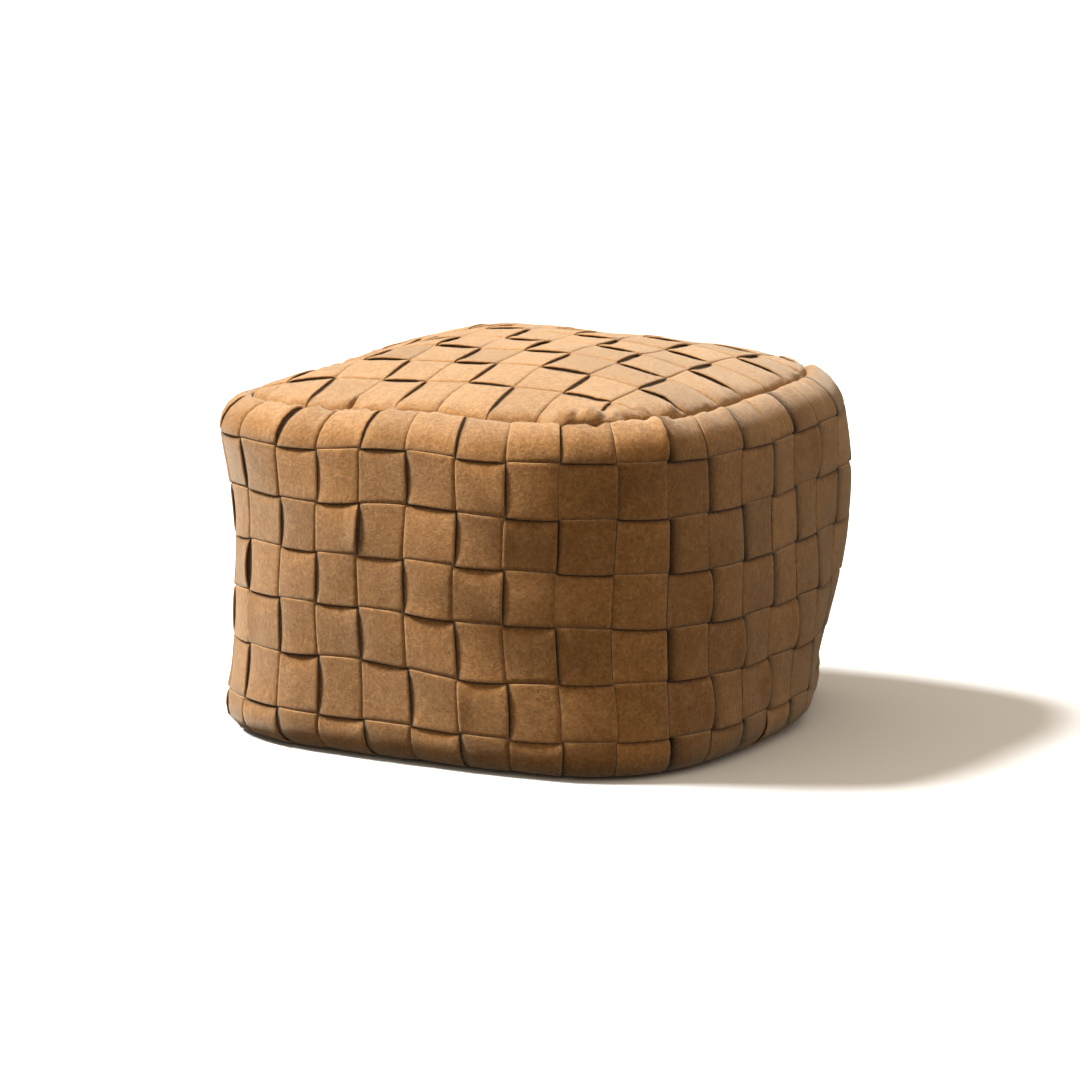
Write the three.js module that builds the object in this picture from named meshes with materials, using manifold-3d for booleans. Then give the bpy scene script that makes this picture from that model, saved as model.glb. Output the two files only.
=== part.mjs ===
// A low square pouf (floor cushion) whose cover is hand woven from wide suede straps.
// The side band is a plain weave of upright straps and level hoops, the top panel is a
// plain weave of lengthwise and crosswise straps, and a plain suede underside with a zip
// closes the cover round a filled inner bag.
// Millimetres, +Z up.  The origin is the middle of the resting face, at floor level.

import * as THREE from 'three';
import { mergeVertices } from 'three/addons/utils/BufferGeometryUtils.js';
import Module from 'manifold-3d';

// ---------------------------------------------------------------- driving dimensions
const COLUMNS_PER_SIDE = 9;           // upright straps on each side of the square
const COLUMN_SHIFT = -0.25;           // the first column starts this far round the corner
const ROWS = 7;                       // hoops from the top seam to the bottom seam
const HALF_WIDTH = 250;               // half width of the side surface at mid height
const HALF_TOP_SEAM = 219;            // half width where the side meets the top panel
const HALF_BOTTOM_SEAM = 226;         // half width where the side meets the underside
const SQUARENESS_MID = 3.0;           // superellipse exponent of the plan, mid height
const SQUARENESS_SEAM = 4.2;          // the seams hold the corners squarer
const SIDE_DRAW = 2;                  // the sides draw in by this much from mid height to the seams
const ROW_PITCH = 46.6;               // height of one hoop and its gap
const SHOULDER_ROWS = 1.08;           // rows taken by the curve into each seam
const SHOULDER_TURN = 80 * Math.PI / 180;
const SHOULDER_RISE = 36;             // height of the curve above the last full row
const CROWN = 42;                     // rise of the stuffed top above its seam
const CROWN_POWER = 2.3;
const STRAP = 1.6;                    // suede thickness
const GAP = 0.056;                    // gap between neighbouring straps, in pitches
const LAYER = 1.1;                    // an upper or lower strap is this far off the weave's middle
const TOP_STRAPS = 9;                 // straps each way in the top panel
const TOP_PITCH = 46.6;
const CLEAR = 0.3;                    // clearance between pieces that touch
const TAPE = 2.2;                     // thickness of the heading tape that the uprights are sewn to
const TAPE_START = -0.13;             // the heading tape's far edge, in rows above the seam
const TAPE_END = -0.03;
const SEWN_END = 0.03;                // an upright stops this short of the tape's far edge, in rows
const LINING = 1.2;                   // canvas lining thickness
const LINING_DEPTH = 5;               // lining's middle, below the weave's middle
const BAG = 1.2;                      // ticking of the inner bag
const BAG_DEPTH = 13;                 // bag's outer face, below the weave's middle
const BAG_FLOOR = 12;                 // underside of the filled bag
const BAG_MOUTH = 0.14;               // half width of the bag's filling mouth, as a share
const PANEL = 1.8;                    // suede of the underside
const PANEL_INSET = 4;                // the underside starts this far inside its seam
const LOWEST_WEAVE = 3.2;             // height of the weave's middle at the bottom seam

const ZIP_LENGTH = 424;              // length of the tapes and of the opening in the underside
const ZIP_CHANNEL = 7.5;              // half width of the opening in the underside
const ZIP_TAPE_Z = 7.6;               // lower face of the zip tapes
const ZIP_TAPE = 0.7;
const ZIP_TAPE_WIDTH = 15;
const ZIP_SLIT = 1.2;                 // half of the slit between the two tapes
const COIL_HEIGHT = 1.4;
const COIL_WIDTH = 1.9;
const SLIDER_LENGTH = 10;
const SLIDER_WIDTH = 8.6;
const SLIDER_PLATE = 1.0;
const NECK_WIDTH = 1.6;
const BAIL_LENGTH = 7;
const BAIL_WIDTH = 1.8;
const BAIL_BAR = 0.8;
const BAIL_WINDOW = 1.6;
const PULL_LENGTH = 22;
const PULL_WIDTH = 5.4;
const PULL_PLATE = 1.0;
const PULL_BAR = 0.5;                 // radius of the pull's crossbar
const PULL_EYE = 4.3;                 // the eye in the pull clears the bail out to this radius
const STOP_SIZE = 3.2;
const STOP_HEIGHT = 2;
const STOP_INSET = 15;                // the stops sit this far in from the ends of the tapes

// ---------------------------------------------------------------- materials
function finish(name, color, roughness, metalness = 0) {
  return new THREE.MeshStandardMaterial({ name, color, roughness, metalness });
}
const STRAP_SUEDE = finish('strap_suede', 0xa67a4a, 0.93);
const UNDERSIDE_SUEDE = finish('underside_suede', 0x8a6238, 0.93);
const LINING_CLOTH = finish('lining_canvas', 0x6d4d2f, 0.95);
const BAG_CLOTH = finish('bag_ticking', 0xe6dfd0, 0.95);
const FILLING = finish('filling', 0xf2efe8, 0.9);
const ZIP_CLOTH = finish('zip_cloth', 0x5b4028, 0.9);
const ZIP_COIL = finish('zip_coil', 0x4a3522, 0.5);
const BRASS = finish('zip_brass', 0x9a7b45, 0.35, 1);

const wasm = await Module();
wasm.setup();
const pouf = new THREE.Group();

// ---------------------------------------------------------------- the stuffed shape
const COLUMNS = 4 * COLUMNS_PER_SIDE;
const SIDE_CENTRE = COLUMNS_PER_SIDE / 2 - COLUMN_SHIFT;     // column at the middle of a side
const SIDE_BASE = LOWEST_WEAVE + SHOULDER_RISE;              // z of the lowest full row's foot
const SEAM_Z = SIDE_BASE + (ROWS - 2) * ROW_PITCH + SHOULDER_RISE;

function superellipse(angle, squareness) {
  const c = Math.cos(angle);
  const s = Math.sin(angle);
  const r = (Math.abs(c) ** squareness + Math.abs(s) ** squareness) ** (-1 / squareness);
  return new THREE.Vector2(r * c, r * s);
}

// Outline of unit half width as points evenly spaced along its length, from the front
// right corner (+X, -Y) round by the right, the rear and the left side.
function evenOutline(squareness, count) {
  const fine = 4000;
  const points = [];
  const lengths = [0];
  for (let i = 0; i <= fine; i += 1) {
    points.push(superellipse(-Math.PI / 4 + 2 * Math.PI * i / fine, squareness));
    if (i > 0) lengths.push(lengths[i - 1] + points[i].distanceTo(points[i - 1]));
  }
  const even = [];
  let at = 0;
  for (let k = 0; k < count; k += 1) {
    const want = lengths[fine] * k / count;
    while (lengths[at + 1] < want) at += 1;
    const share = (want - lengths[at]) / (lengths[at + 1] - lengths[at]);
    even.push(points[at].clone().lerp(points[at + 1], share));
  }
  return even;
}

const OUTLINE_STEPS = 720;
const MID_OUTLINE = evenOutline(SQUARENESS_MID, OUTLINE_STEPS);
const SEAM_OUTLINE = evenOutline(SQUARENESS_SEAM, OUTLINE_STEPS);

function onOutline(outline, column) {
  const at = (((column + COLUMN_SHIFT) / COLUMNS) % 1 + 1) % 1 * OUTLINE_STEPS;
  const first = Math.floor(at) % OUTLINE_STEPS;
  const next = (first + 1) % OUTLINE_STEPS;
  return outline[first].clone().lerp(outline[next], at - Math.floor(at));
}

// How far a shoulder has turned in, from 0 at its start to 1 at the seam, and its rise.
function shoulder(rowsIn) {
  const angle = SHOULDER_TURN * Math.max(0, rowsIn) / SHOULDER_ROWS;
  return {
    inset: (1 - Math.cos(angle)) / (1 - Math.cos(SHOULDER_TURN)),
    rise: Math.sin(angle) / Math.sin(SHOULDER_TURN),
  };
}

// Middle of the side weave at a column (0..COLUMNS) and a row (0 at the top seam).
function sideMiddle(column, row) {
  const top = shoulder(SHOULDER_ROWS - row);
  const bottom = shoulder(row - (ROWS - SHOULDER_ROWS));
  const fromMiddle = (row - ROWS / 2) / (ROWS / 2);
  const squaring = Math.min(1, fromMiddle ** 2);
  const half = HALF_WIDTH
    - (HALF_WIDTH - HALF_TOP_SEAM) * top.inset
    - (HALF_WIDTH - HALF_BOTTOM_SEAM) * bottom.inset
    - SIDE_DRAW * squaring;
  const plan = onOutline(MID_OUTLINE, column).lerp(onOutline(SEAM_OUTLINE, column), squaring);
  const rows = ROWS - 2 * SHOULDER_ROWS;
  const straight = THREE.MathUtils.clamp(row - SHOULDER_ROWS, 0, rows) / rows;
  const height = SEAM_Z - LOWEST_WEAVE - 2 * SHOULDER_RISE;      // of the upright part between shoulders
  const z = LOWEST_WEAVE + SHOULDER_RISE * (1 - bottom.rise)
    + height * (1 - straight)
    + SHOULDER_RISE * top.rise;
  return new THREE.Vector3(plan.x * half, plan.y * half, z);
}

// Middle of the top weave above a plan point.
function topMiddle(x, y) {
  const reach = (Math.abs(x) ** SQUARENESS_SEAM + Math.abs(y) ** SQUARENESS_SEAM) ** (1 / SQUARENESS_SEAM);
  const share = Math.min(1, reach / HALF_TOP_SEAM);
  return new THREE.Vector3(x, y, SEAM_Z + CROWN * (1 - share ** CROWN_POWER));
}

// The point a distance out from a surface, along the surface's own outward normal.
function offsetPoint(surface, a, b, distance, flip) {
  const step = 0.01;
  const along = surface(a + step, b).sub(surface(a - step, b));
  const across = surface(a, b + step).sub(surface(a, b - step));
  const normal = along.cross(across).normalize().multiplyScalar(flip);
  return surface(a, b).addScaledVector(normal, distance);
}
const sidePoint = (column, row, distance) => offsetPoint(sideMiddle, column, row, distance, -1);
const topPoint = (x, y, distance) => offsetPoint(topMiddle, x, y, distance, 1);

// ---------------------------------------------------------------- solids from grids
function geometryOf(points, triangles) {
  const geometry = new THREE.BufferGeometry();
  const numbers = points.flatMap((p) => [p.x, p.y, p.z]);
  geometry.setAttribute('position', new THREE.Float32BufferAttribute(numbers, 3));
  geometry.setIndex(triangles);
  return geometry;
}

// A closed sheet of material: outer(i, j) and inner(i, j) are its two faces over a grid of
// across x along points.  A ring closes on itself along its length.
function sheet(across, along, outer, inner, ring = false) {
  const points = [];
  for (const face of [outer, inner]) {
    for (let j = 0; j < along; j += 1) {
      for (let i = 0; i < across; i += 1) points.push(face(i, j));
    }
  }
  const size = across * along;
  const at = (layer, i, j) => layer * size + (j % along) * across + i;
  const triangles = [];
  const quad = (a, b, c, d) => triangles.push(a, b, c, a, c, d);
  const lengths = ring ? along : along - 1;
  for (let j = 0; j < lengths; j += 1) {
    for (let i = 0; i < across - 1; i += 1) {
      quad(at(0, i, j), at(0, i + 1, j), at(0, i + 1, j + 1), at(0, i, j + 1));
      quad(at(1, i, j), at(1, i, j + 1), at(1, i + 1, j + 1), at(1, i + 1, j));
    }
    quad(at(0, 0, j), at(0, 0, j + 1), at(1, 0, j + 1), at(1, 0, j));
    quad(at(0, across - 1, j), at(1, across - 1, j), at(1, across - 1, j + 1), at(0, across - 1, j + 1));
  }
  if (!ring) {
    for (let i = 0; i < across - 1; i += 1) {
      quad(at(0, i, 0), at(1, i, 0), at(1, i + 1, 0), at(0, i + 1, 0));
      quad(at(0, i, along - 1), at(0, i + 1, along - 1), at(1, i + 1, along - 1), at(1, i, along - 1));
    }
  }
  return geometryOf(points, triangles);
}

function solidOf(geometry) {
  const bare = geometry.clone();
  bare.deleteAttribute('normal');
  bare.deleteAttribute('uv');
  const merged = mergeVertices(bare, 1e-4);
  return new wasm.Manifold(new wasm.Mesh({
    numProp: 3,
    vertProperties: new Float32Array(merged.attributes.position.array),
    triVerts: new Uint32Array(merged.index.array),
  }));
}

function geometryFrom(solid) {
  const mesh = solid.getMesh();
  const geometry = new THREE.BufferGeometry();
  geometry.setAttribute('position', new THREE.BufferAttribute(new Float32Array(mesh.vertProperties), 3));
  geometry.setIndex([...mesh.triVerts]);
  return geometry;
}

function outward(geometry) {
  if (solidOf(geometry).volume() > 0) return geometry;
  const index = [...geometry.index.array];
  for (let i = 0; i < index.length; i += 3) [index[i + 1], index[i + 2]] = [index[i + 2], index[i + 1]];
  geometry.setIndex(index);
  return geometry;
}

function box(x0, x1, y0, y1, z0, z1) {
  const geometry = new THREE.BoxGeometry(x1 - x0, y1 - y0, z1 - z0);
  geometry.translate((x0 + x1) / 2, (y0 + y1) / 2, (z0 + z1) / 2);
  return geometry;
}

function joined(geometries) {
  return geometryFrom(geometries.map(solidOf).reduce((whole, piece) => whole.add(piece)));
}

function add(name, geometry, material, parent = pouf) {
  geometry.computeVertexNormals();
  const mesh = new THREE.Mesh(geometry, material);
  mesh.name = name;
  parent.add(mesh);
  return mesh;
}

// ---------------------------------------------------------------- the side weave
// Rows at which an upright is measured: both edges of each hoop, and the middle of the
// two hoops that bend round the shoulders.
function rowSamples(row) {
  const edges = [row + GAP / 2, row + 1 - GAP / 2];
  const bends = row === 0 || row === ROWS - 1;
  return bends ? [edges[0], row + 0.5, edges[1]] : edges;
}

// An upright is on top of the hoop where column and row numbers add up to an even number.
const uprightIsOver = (column, row) => (column + row) % 2 === 0;

function uprightStrap(column) {
  const stations = [{ row: TAPE_START + SEWN_END, lift: 0 }];
  for (let row = 0; row < ROWS; row += 1) {
    const lift = uprightIsOver(column, row) ? LAYER : -LAYER;
    for (const sample of rowSamples(row)) stations.push({ row: sample, lift });
  }
  const edges = [column + GAP / 2, column + 1 - GAP / 2];
  const face = (half) => (i, j) => sidePoint(edges[i], stations[j].row, stations[j].lift + half);
  return outward(sheet(2, stations.length, face(STRAP / 2), face(-STRAP / 2)));
}

function columnEdges(first, count) {
  const edges = [];
  for (let column = first; column < first + count; column += 1) {
    edges.push(column + GAP / 2, column + 1 - GAP / 2);
  }
  return edges;
}

function hoopStrap(row) {
  const edges = columnEdges(0, COLUMNS);
  const samples = rowSamples(row);
  const lift = (j) => (uprightIsOver(Math.floor(edges[j]), row) ? -LAYER : LAYER);
  const face = (half) => (i, j) => sidePoint(edges[j], samples[i], lift(j) + half);
  return outward(sheet(samples.length, edges.length, face(STRAP / 2), face(-STRAP / 2), true));
}

function headingTape(first) {
  const edges = columnEdges(first, COLUMNS_PER_SIDE);
  const rows = [TAPE_START, TAPE_END];
  const face = (half) => (i, j) => sidePoint(edges[j], rows[i], half);
  return outward(sheet(2, edges.length, face(TAPE / 2), face(-TAPE / 2)));
}

['right', 'rear', 'left', 'front'].forEach((side, number) => {
  const first = number * COLUMNS_PER_SIDE;
  const pieces = [headingTape(first)];
  for (let k = 0; k < COLUMNS_PER_SIDE; k += 1) pieces.push(uprightStrap(first + k));
  add(`${side}_upright_straps`, joined(pieces), STRAP_SUEDE);
});
for (let row = 0; row < ROWS; row += 1) add(`hoop_strap_${row + 1}`, hoopStrap(row), STRAP_SUEDE);

// ---------------------------------------------------------------- the top weave
const TOP_HALF = Math.abs(sideMiddle(SIDE_CENTRE, TAPE_START).x) - 2;

function prism(half, squareness, z0, z1, count = 40) {
  const shape = new THREE.Shape();
  for (let i = 0; i < count; i += 1) {
    const p = superellipse(2 * Math.PI * (i + 0.5) / count, squareness).multiplyScalar(half);
    if (i === 0) shape.moveTo(p.x, p.y);
    else shape.lineTo(p.x, p.y);
  }
  shape.closePath();
  const geometry = new THREE.ExtrudeGeometry(shape, { depth: z1 - z0, bevelEnabled: false });
  geometry.translate(0, 0, z0);
  return geometry;
}

// Everything of the top panel that lies inside its seam.
const TOP_CUTTER = solidOf(prism(TOP_HALF, SQUARENESS_SEAM, SEAM_Z - 20, SEAM_Z + CROWN + 20));

// Lengthwise straps are on top where strap numbers add up to an odd number.
function topStrap(number, lengthwise) {
  const start = -TOP_STRAPS / 2 * TOP_PITCH;
  const edgePair = (k) => [start + (k + GAP / 2) * TOP_PITCH, start + (k + 1 - GAP / 2) * TOP_PITCH];
  const stations = [];
  for (let k = 0; k < TOP_STRAPS; k += 1) {
    const over = (number + k) % 2 === 1;
    for (const place of edgePair(k)) stations.push({ place, lift: over === lengthwise ? LAYER : -LAYER });
  }
  const last = stations[stations.length - 1];
  stations.unshift({ place: stations[0].place - TOP_PITCH / 2, lift: stations[0].lift });
  stations.push({ place: last.place + TOP_PITCH / 2, lift: last.lift });
  const across = edgePair(number);
  const at = (i, j, lift) => (lengthwise
    ? topPoint(across[i], stations[j].place, lift)
    : topPoint(stations[j].place, across[i], lift));
  const face = (half) => (i, j) => at(i, j, stations[j].lift + half);
  const strap = outward(sheet(2, stations.length, face(STRAP / 2), face(-STRAP / 2)));
  return geometryFrom(solidOf(strap).intersect(TOP_CUTTER));
}

for (let k = 0; k < TOP_STRAPS; k += 1) {
  add(`top_lengthwise_strap_${k + 1}`, topStrap(k, true), STRAP_SUEDE);
  add(`top_crosswise_strap_${k + 1}`, topStrap(k, false), STRAP_SUEDE);
}

// ---------------------------------------------------------------- linings and seams
function sideBand(rows, depth, thickness) {
  const face = (half) => (i, j) => sidePoint(j, rows[i], half - depth);
  return outward(sheet(rows.length, COLUMNS, face(thickness / 2), face(-thickness / 2), true));
}
add('side_lining', sideBand([0.5, 1.3, 3.5, 5.7, 6.5], LINING_DEPTH, LINING), LINING_CLOTH);
add('bottom_seam_tape', sideBand([6.72, 7.0], LINING_DEPTH, LINING), LINING_CLOTH);

// A crowned disc under the top weave: rings of points from the rim to the middle.
function crownedDisc(half, depth, thickness, segments, shares) {
  const faces = [thickness / 2, -thickness / 2].map((side) => shares.map((share) => {
    const ring = [];
    for (let k = 0; k < segments; k += 1) {
      const p = superellipse(2 * Math.PI * k / segments, SQUARENESS_SEAM).multiplyScalar(half * share);
      ring.push(topMiddle(p.x, p.y).add(new THREE.Vector3(0, 0, side - depth)));
    }
    return ring;
  }));
  const tip = (side) => topMiddle(0, 0).add(new THREE.Vector3(0, 0, side - depth));
  return lathed([tip(-thickness / 2), ...faces[1].reverse(), ...faces[0], tip(thickness / 2)]);
}

// A closed solid through rings of equal size, from a first point to a last point.
function lathed(rings) {
  const points = [rings[0], ...rings.slice(1, -1).flat(), rings[rings.length - 1]];
  const size = rings[1].length;
  const count = rings.length - 2;
  const at = (ring, k) => 1 + ring * size + k % size;
  const triangles = [];
  for (let k = 0; k < size; k += 1) {
    triangles.push(0, at(0, k), at(0, k + 1));
    triangles.push(at(count - 1, k + 1), at(count - 1, k), points.length - 1);
    for (let ring = 0; ring < count - 1; ring += 1) {
      triangles.push(at(ring, k), at(ring + 1, k), at(ring + 1, k + 1));
      triangles.push(at(ring, k), at(ring + 1, k + 1), at(ring, k + 1));
    }
  }
  return outward(geometryOf(points, triangles));
}
const TOP_LINING_INSET = 14;
const topLining = crownedDisc(TOP_HALF - TOP_LINING_INSET, LINING_DEPTH + 1, LINING, COLUMNS, [1, 0.7, 0.35]);
add('top_lining', topLining, LINING_CLOTH);

// ---------------------------------------------------------------- the filled inner bag
// Rings of the stuffed shape at a depth below the weave, from the underside to the crown.
function stuffedRings(depth, floor, segments) {
  const rings = [];
  const ring = (make) => Array.from({ length: segments }, (_, k) => make(COLUMNS * k / segments));
  const flat = (share) => (column) => {
    const p = sidePoint(column, 6.3, -depth);
    return new THREE.Vector3(p.x * share, p.y * share, floor);
  };
  rings.push(ring(flat(BAG_MOUTH)));
  rings.push(ring(flat(0.985)));
  for (const row of [6.0, 3.5, 1.0, 0.45]) rings.push(ring((column) => sidePoint(column, row, -depth)));
  for (const share of [0.86, 0.5]) {
    rings.push(ring((column) => {
      const p = sideMiddle(column, 0).multiplyScalar(share);
      return topMiddle(p.x, p.y).add(new THREE.Vector3(0, 0, -depth));
    }));
  }
  return rings;
}
const crownTip = (depth) => topMiddle(0, 0).add(new THREE.Vector3(0, 0, -depth));
const floorTip = (floor) => new THREE.Vector3(0, 0, floor);

// The ticking is open at its filling mouth, in the middle of its underside.
function tickingBag(segments) {
  const outer = stuffedRings(BAG_DEPTH, BAG_FLOOR, segments);
  const inner = stuffedRings(BAG_DEPTH + BAG, BAG_FLOOR + BAG, segments);
  const rings = [crownTip(BAG_DEPTH), ...outer.reverse(), ...inner, crownTip(BAG_DEPTH + BAG)];
  return lathed(rings);
}
const BAG_SEGMENTS = COLUMNS / 2;
add('inner_bag_ticking', tickingBag(BAG_SEGMENTS), BAG_CLOTH);
const fillDepth = BAG_DEPTH + BAG + 0.6;
const fillFloor = BAG_FLOOR + BAG + 0.6;
add('inner_bag_filling', lathed([
  floorTip(fillFloor),
  ...stuffedRings(fillDepth, fillFloor, BAG_SEGMENTS),
  crownTip(fillDepth),
]), FILLING);

// ---------------------------------------------------------------- the underside
const UNDERSIDE_HALF = Math.abs(sideMiddle(SIDE_CENTRE, ROWS).x) - PANEL_INSET;

// Half of the underside, folded up into a hem along the zip.
function undersideHalf(side) {
  const whole = solidOf(prism(UNDERSIDE_HALF, SQUARENESS_SEAM, 0, PANEL));
  const far = HALF_WIDTH + 50;
  const mid = CLEAR / 2;
  const near = (a, b) => (side > 0 ? [a, b] : [-b, -a]);
  const half = whole.intersect(solidOf(box(-far, far, ...near(mid, far), -1, PANEL + 1)));
  const end = ZIP_LENGTH / 2;
  const opening = solidOf(box(-end, end, ...near(-1, ZIP_CHANNEL), -1, PANEL + 1));
  const hemTop = ZIP_TAPE_Z - CLEAR;
  const hem = solidOf(box(-end, end, ...near(ZIP_CHANNEL, ZIP_CHANNEL + PANEL), 0, hemTop));
  return geometryFrom(half.subtract(opening).add(hem));
}
add('underside_front', undersideHalf(-1), UNDERSIDE_SUEDE);
add('underside_rear', undersideHalf(1), UNDERSIDE_SUEDE);

// ---------------------------------------------------------------- the zip
const HALF_ZIP = ZIP_LENGTH / 2;
const COIL_END = HALF_ZIP - STOP_INSET - STOP_SIZE - CLEAR;
const COIL_TOP = ZIP_TAPE_Z - CLEAR;
for (const [name, side] of [['front', -1], ['rear', 1]]) {
  const span = (a, b) => (side > 0 ? [a, b] : [-b, -a]);
  const tape = span(ZIP_SLIT, ZIP_SLIT + ZIP_TAPE_WIDTH);
  const coil = span(ZIP_SLIT, ZIP_SLIT + COIL_WIDTH);
  add(`zip_tape_${name}`, box(-HALF_ZIP, HALF_ZIP, ...tape, ZIP_TAPE_Z, ZIP_TAPE_Z + ZIP_TAPE), ZIP_CLOTH);
  add(`zip_coil_${name}`, box(-COIL_END, COIL_END, ...coil, COIL_TOP - COIL_HEIGHT, COIL_TOP), ZIP_COIL);
}
for (const [name, side] of [['closed', -1], ['open', 1]]) {
  const middle = side * (HALF_ZIP - STOP_INSET - STOP_SIZE / 2);
  const reach = STOP_SIZE / 2;
  const stop = box(middle - reach, middle + reach, -STOP_SIZE, STOP_SIZE, COIL_TOP - STOP_HEIGHT, COIL_TOP);
  add(`zip_${name}_end_stop`, stop, BRASS);
}

// Slider: an outer plate with side flanges and a bail, an inner plate, and a neck that
// passes through the slit between the tapes.
const OUTER_PLATE_TOP = ZIP_TAPE_Z - CLEAR - COIL_HEIGHT - CLEAR;
const OUTER_PLATE_LOW = OUTER_PLATE_TOP - SLIDER_PLATE;
const PULL_AXIS_Z = OUTER_PLATE_LOW - BAIL_WINDOW / 2;

function slider() {
  const l = SLIDER_LENGTH / 2;
  const w = SLIDER_WIDTH / 2;
  const innerLow = ZIP_TAPE_Z + ZIP_TAPE + CLEAR;
  const bailLow = OUTER_PLATE_LOW - BAIL_WINDOW - BAIL_BAR;
  const b = BAIL_LENGTH / 2;
  const bw = BAIL_WIDTH / 2;
  return joined([
    box(-l, l, -w, w, OUTER_PLATE_LOW, OUTER_PLATE_TOP),
    box(-l, l, -w, -w + 0.7, OUTER_PLATE_LOW, ZIP_TAPE_Z - CLEAR),
    box(-l, l, w - 0.7, w, OUTER_PLATE_LOW, ZIP_TAPE_Z - CLEAR),
    box(-l, l, -w, w, innerLow, innerLow + SLIDER_PLATE),
    box(l - 4, l - 0.5, -NECK_WIDTH / 2, NECK_WIDTH / 2, OUTER_PLATE_LOW + 0.2, innerLow + 0.5),
    box(-b, b, -bw, bw, bailLow, bailLow + BAIL_BAR),
    box(-b, -b + BAIL_BAR, -bw, bw, bailLow, OUTER_PLATE_LOW + 0.3),
    box(b - BAIL_BAR, b, -bw, bw, bailLow, OUTER_PLATE_LOW + 0.3),
  ]);
}

// Pull tab: a plate with an eye round the bail and a crossbar through the bail's window.
// It is drawn about its own hinge axis and lies flat, towards the closed end.
function pull() {
  const shape = new THREE.Shape();
  const w = PULL_WIDTH / 2;
  shape.moveTo(0, -w);
  shape.lineTo(0, w);
  shape.lineTo(-PULL_LENGTH + w, w * 0.8);
  shape.absarc(-PULL_LENGTH + w, 0, w * 0.8, Math.PI / 2, 3 * Math.PI / 2, false);
  shape.closePath();
  const eyeHalf = BAIL_WIDTH / 2 + 0.5;
  const flat = { depth: PULL_PLATE, bevelEnabled: false, curveSegments: 6 };
  const plate = new THREE.ExtrudeGeometry(shape, flat);
  plate.translate(0, 0, -PULL_PLATE / 2);
  const hole = box(-PULL_EYE, 1, -eyeHalf, eyeHalf, -PULL_PLATE, PULL_PLATE);
  const bar = new THREE.CylinderGeometry(PULL_BAR, PULL_BAR, PULL_WIDTH - 0.4, 8);
  return geometryFrom(solidOf(plate).subtract(solidOf(hole)).add(solidOf(bar)));
}

// The zip is closed: the slider stands against the stop at its closed end.
const sliderGroup = new THREE.Group();
sliderGroup.position.set(-COIL_END + SLIDER_LENGTH / 2, 0, 0);
add('zip_slider', slider(), BRASS, sliderGroup);
const pullMesh = add('zip_pull', pull(), BRASS, sliderGroup);
pullMesh.position.set(0, 0, PULL_AXIS_Z);
pouf.add(sliderGroup);

export default pouf;
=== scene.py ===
"""Looks of the woven suede pouf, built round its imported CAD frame.

The cover is a plain weave of flat suede straps.  Every strap is a closed ribbon that follows one
common stuffed surface and passes over and under the straps that cross it.  Metres, +Z up.
"""

import math

import bmesh
import bpy
import numpy as np
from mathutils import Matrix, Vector


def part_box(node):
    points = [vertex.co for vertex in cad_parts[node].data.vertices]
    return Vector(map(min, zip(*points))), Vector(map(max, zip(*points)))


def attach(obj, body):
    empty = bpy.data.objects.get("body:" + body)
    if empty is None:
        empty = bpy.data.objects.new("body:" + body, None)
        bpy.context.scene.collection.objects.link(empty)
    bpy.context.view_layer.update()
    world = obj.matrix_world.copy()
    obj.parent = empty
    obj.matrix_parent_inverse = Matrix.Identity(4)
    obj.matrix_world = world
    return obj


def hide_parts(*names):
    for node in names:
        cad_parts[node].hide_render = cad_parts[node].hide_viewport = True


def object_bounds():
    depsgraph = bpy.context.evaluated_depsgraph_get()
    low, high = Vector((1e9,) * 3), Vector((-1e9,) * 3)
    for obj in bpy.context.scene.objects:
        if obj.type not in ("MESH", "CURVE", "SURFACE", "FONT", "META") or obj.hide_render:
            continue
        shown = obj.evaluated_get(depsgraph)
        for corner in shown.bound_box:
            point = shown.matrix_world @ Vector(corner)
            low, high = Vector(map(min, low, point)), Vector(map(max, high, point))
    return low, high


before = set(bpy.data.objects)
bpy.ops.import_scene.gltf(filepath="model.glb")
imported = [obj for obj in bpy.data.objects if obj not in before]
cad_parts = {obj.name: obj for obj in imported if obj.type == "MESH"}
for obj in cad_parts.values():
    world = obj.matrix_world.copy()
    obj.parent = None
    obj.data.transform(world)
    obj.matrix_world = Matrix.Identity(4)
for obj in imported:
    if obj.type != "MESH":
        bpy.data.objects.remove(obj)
CAD_LOW, CAD_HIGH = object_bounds()

MM = 0.001

# ---- the woven shape
SIDES = ("right", "rear", "left", "front")  # in the order of the columns
PER_SIDE = 9  # upright straps on a side
COLUMNS = 4 * PER_SIDE
COLUMN_SHIFT = -0.25  # the first column starts this far round the corner
ROWS = 7  # hoops
LAYER = 1.1 * MM  # CAD straps lie this far off the weave's middle
STRAP_CAD = 1.6 * MM  # thickness of the CAD straps
SKIN = LAYER + STRAP_CAD / 2  # from the weave's middle to the CAD skin
SIDE_DRAW = 2 * MM  # the weave draws in this far towards the seams
PANEL_INSET = 4 * MM  # the underside's CAD rim lies this far inside the weave
SQUARE_MID = 3.0  # superellipse exponents of the plan
SQUARE_SEAM = 4.2
SHOULDER_ROWS = 1.08
SHOULDER_TURN = math.radians(80)
SHOULDER_RISE = 36 * MM
LOW_SQUARE = 1.6  # the bottom turns in late, with the weight on it
SEAM_RUN = 42 * MM  # length of a row where it bends into a seam
CROWN_POWER = 2.3
LOW_Z = 3.2 * MM  # weave's middle at the bottom seam

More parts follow.
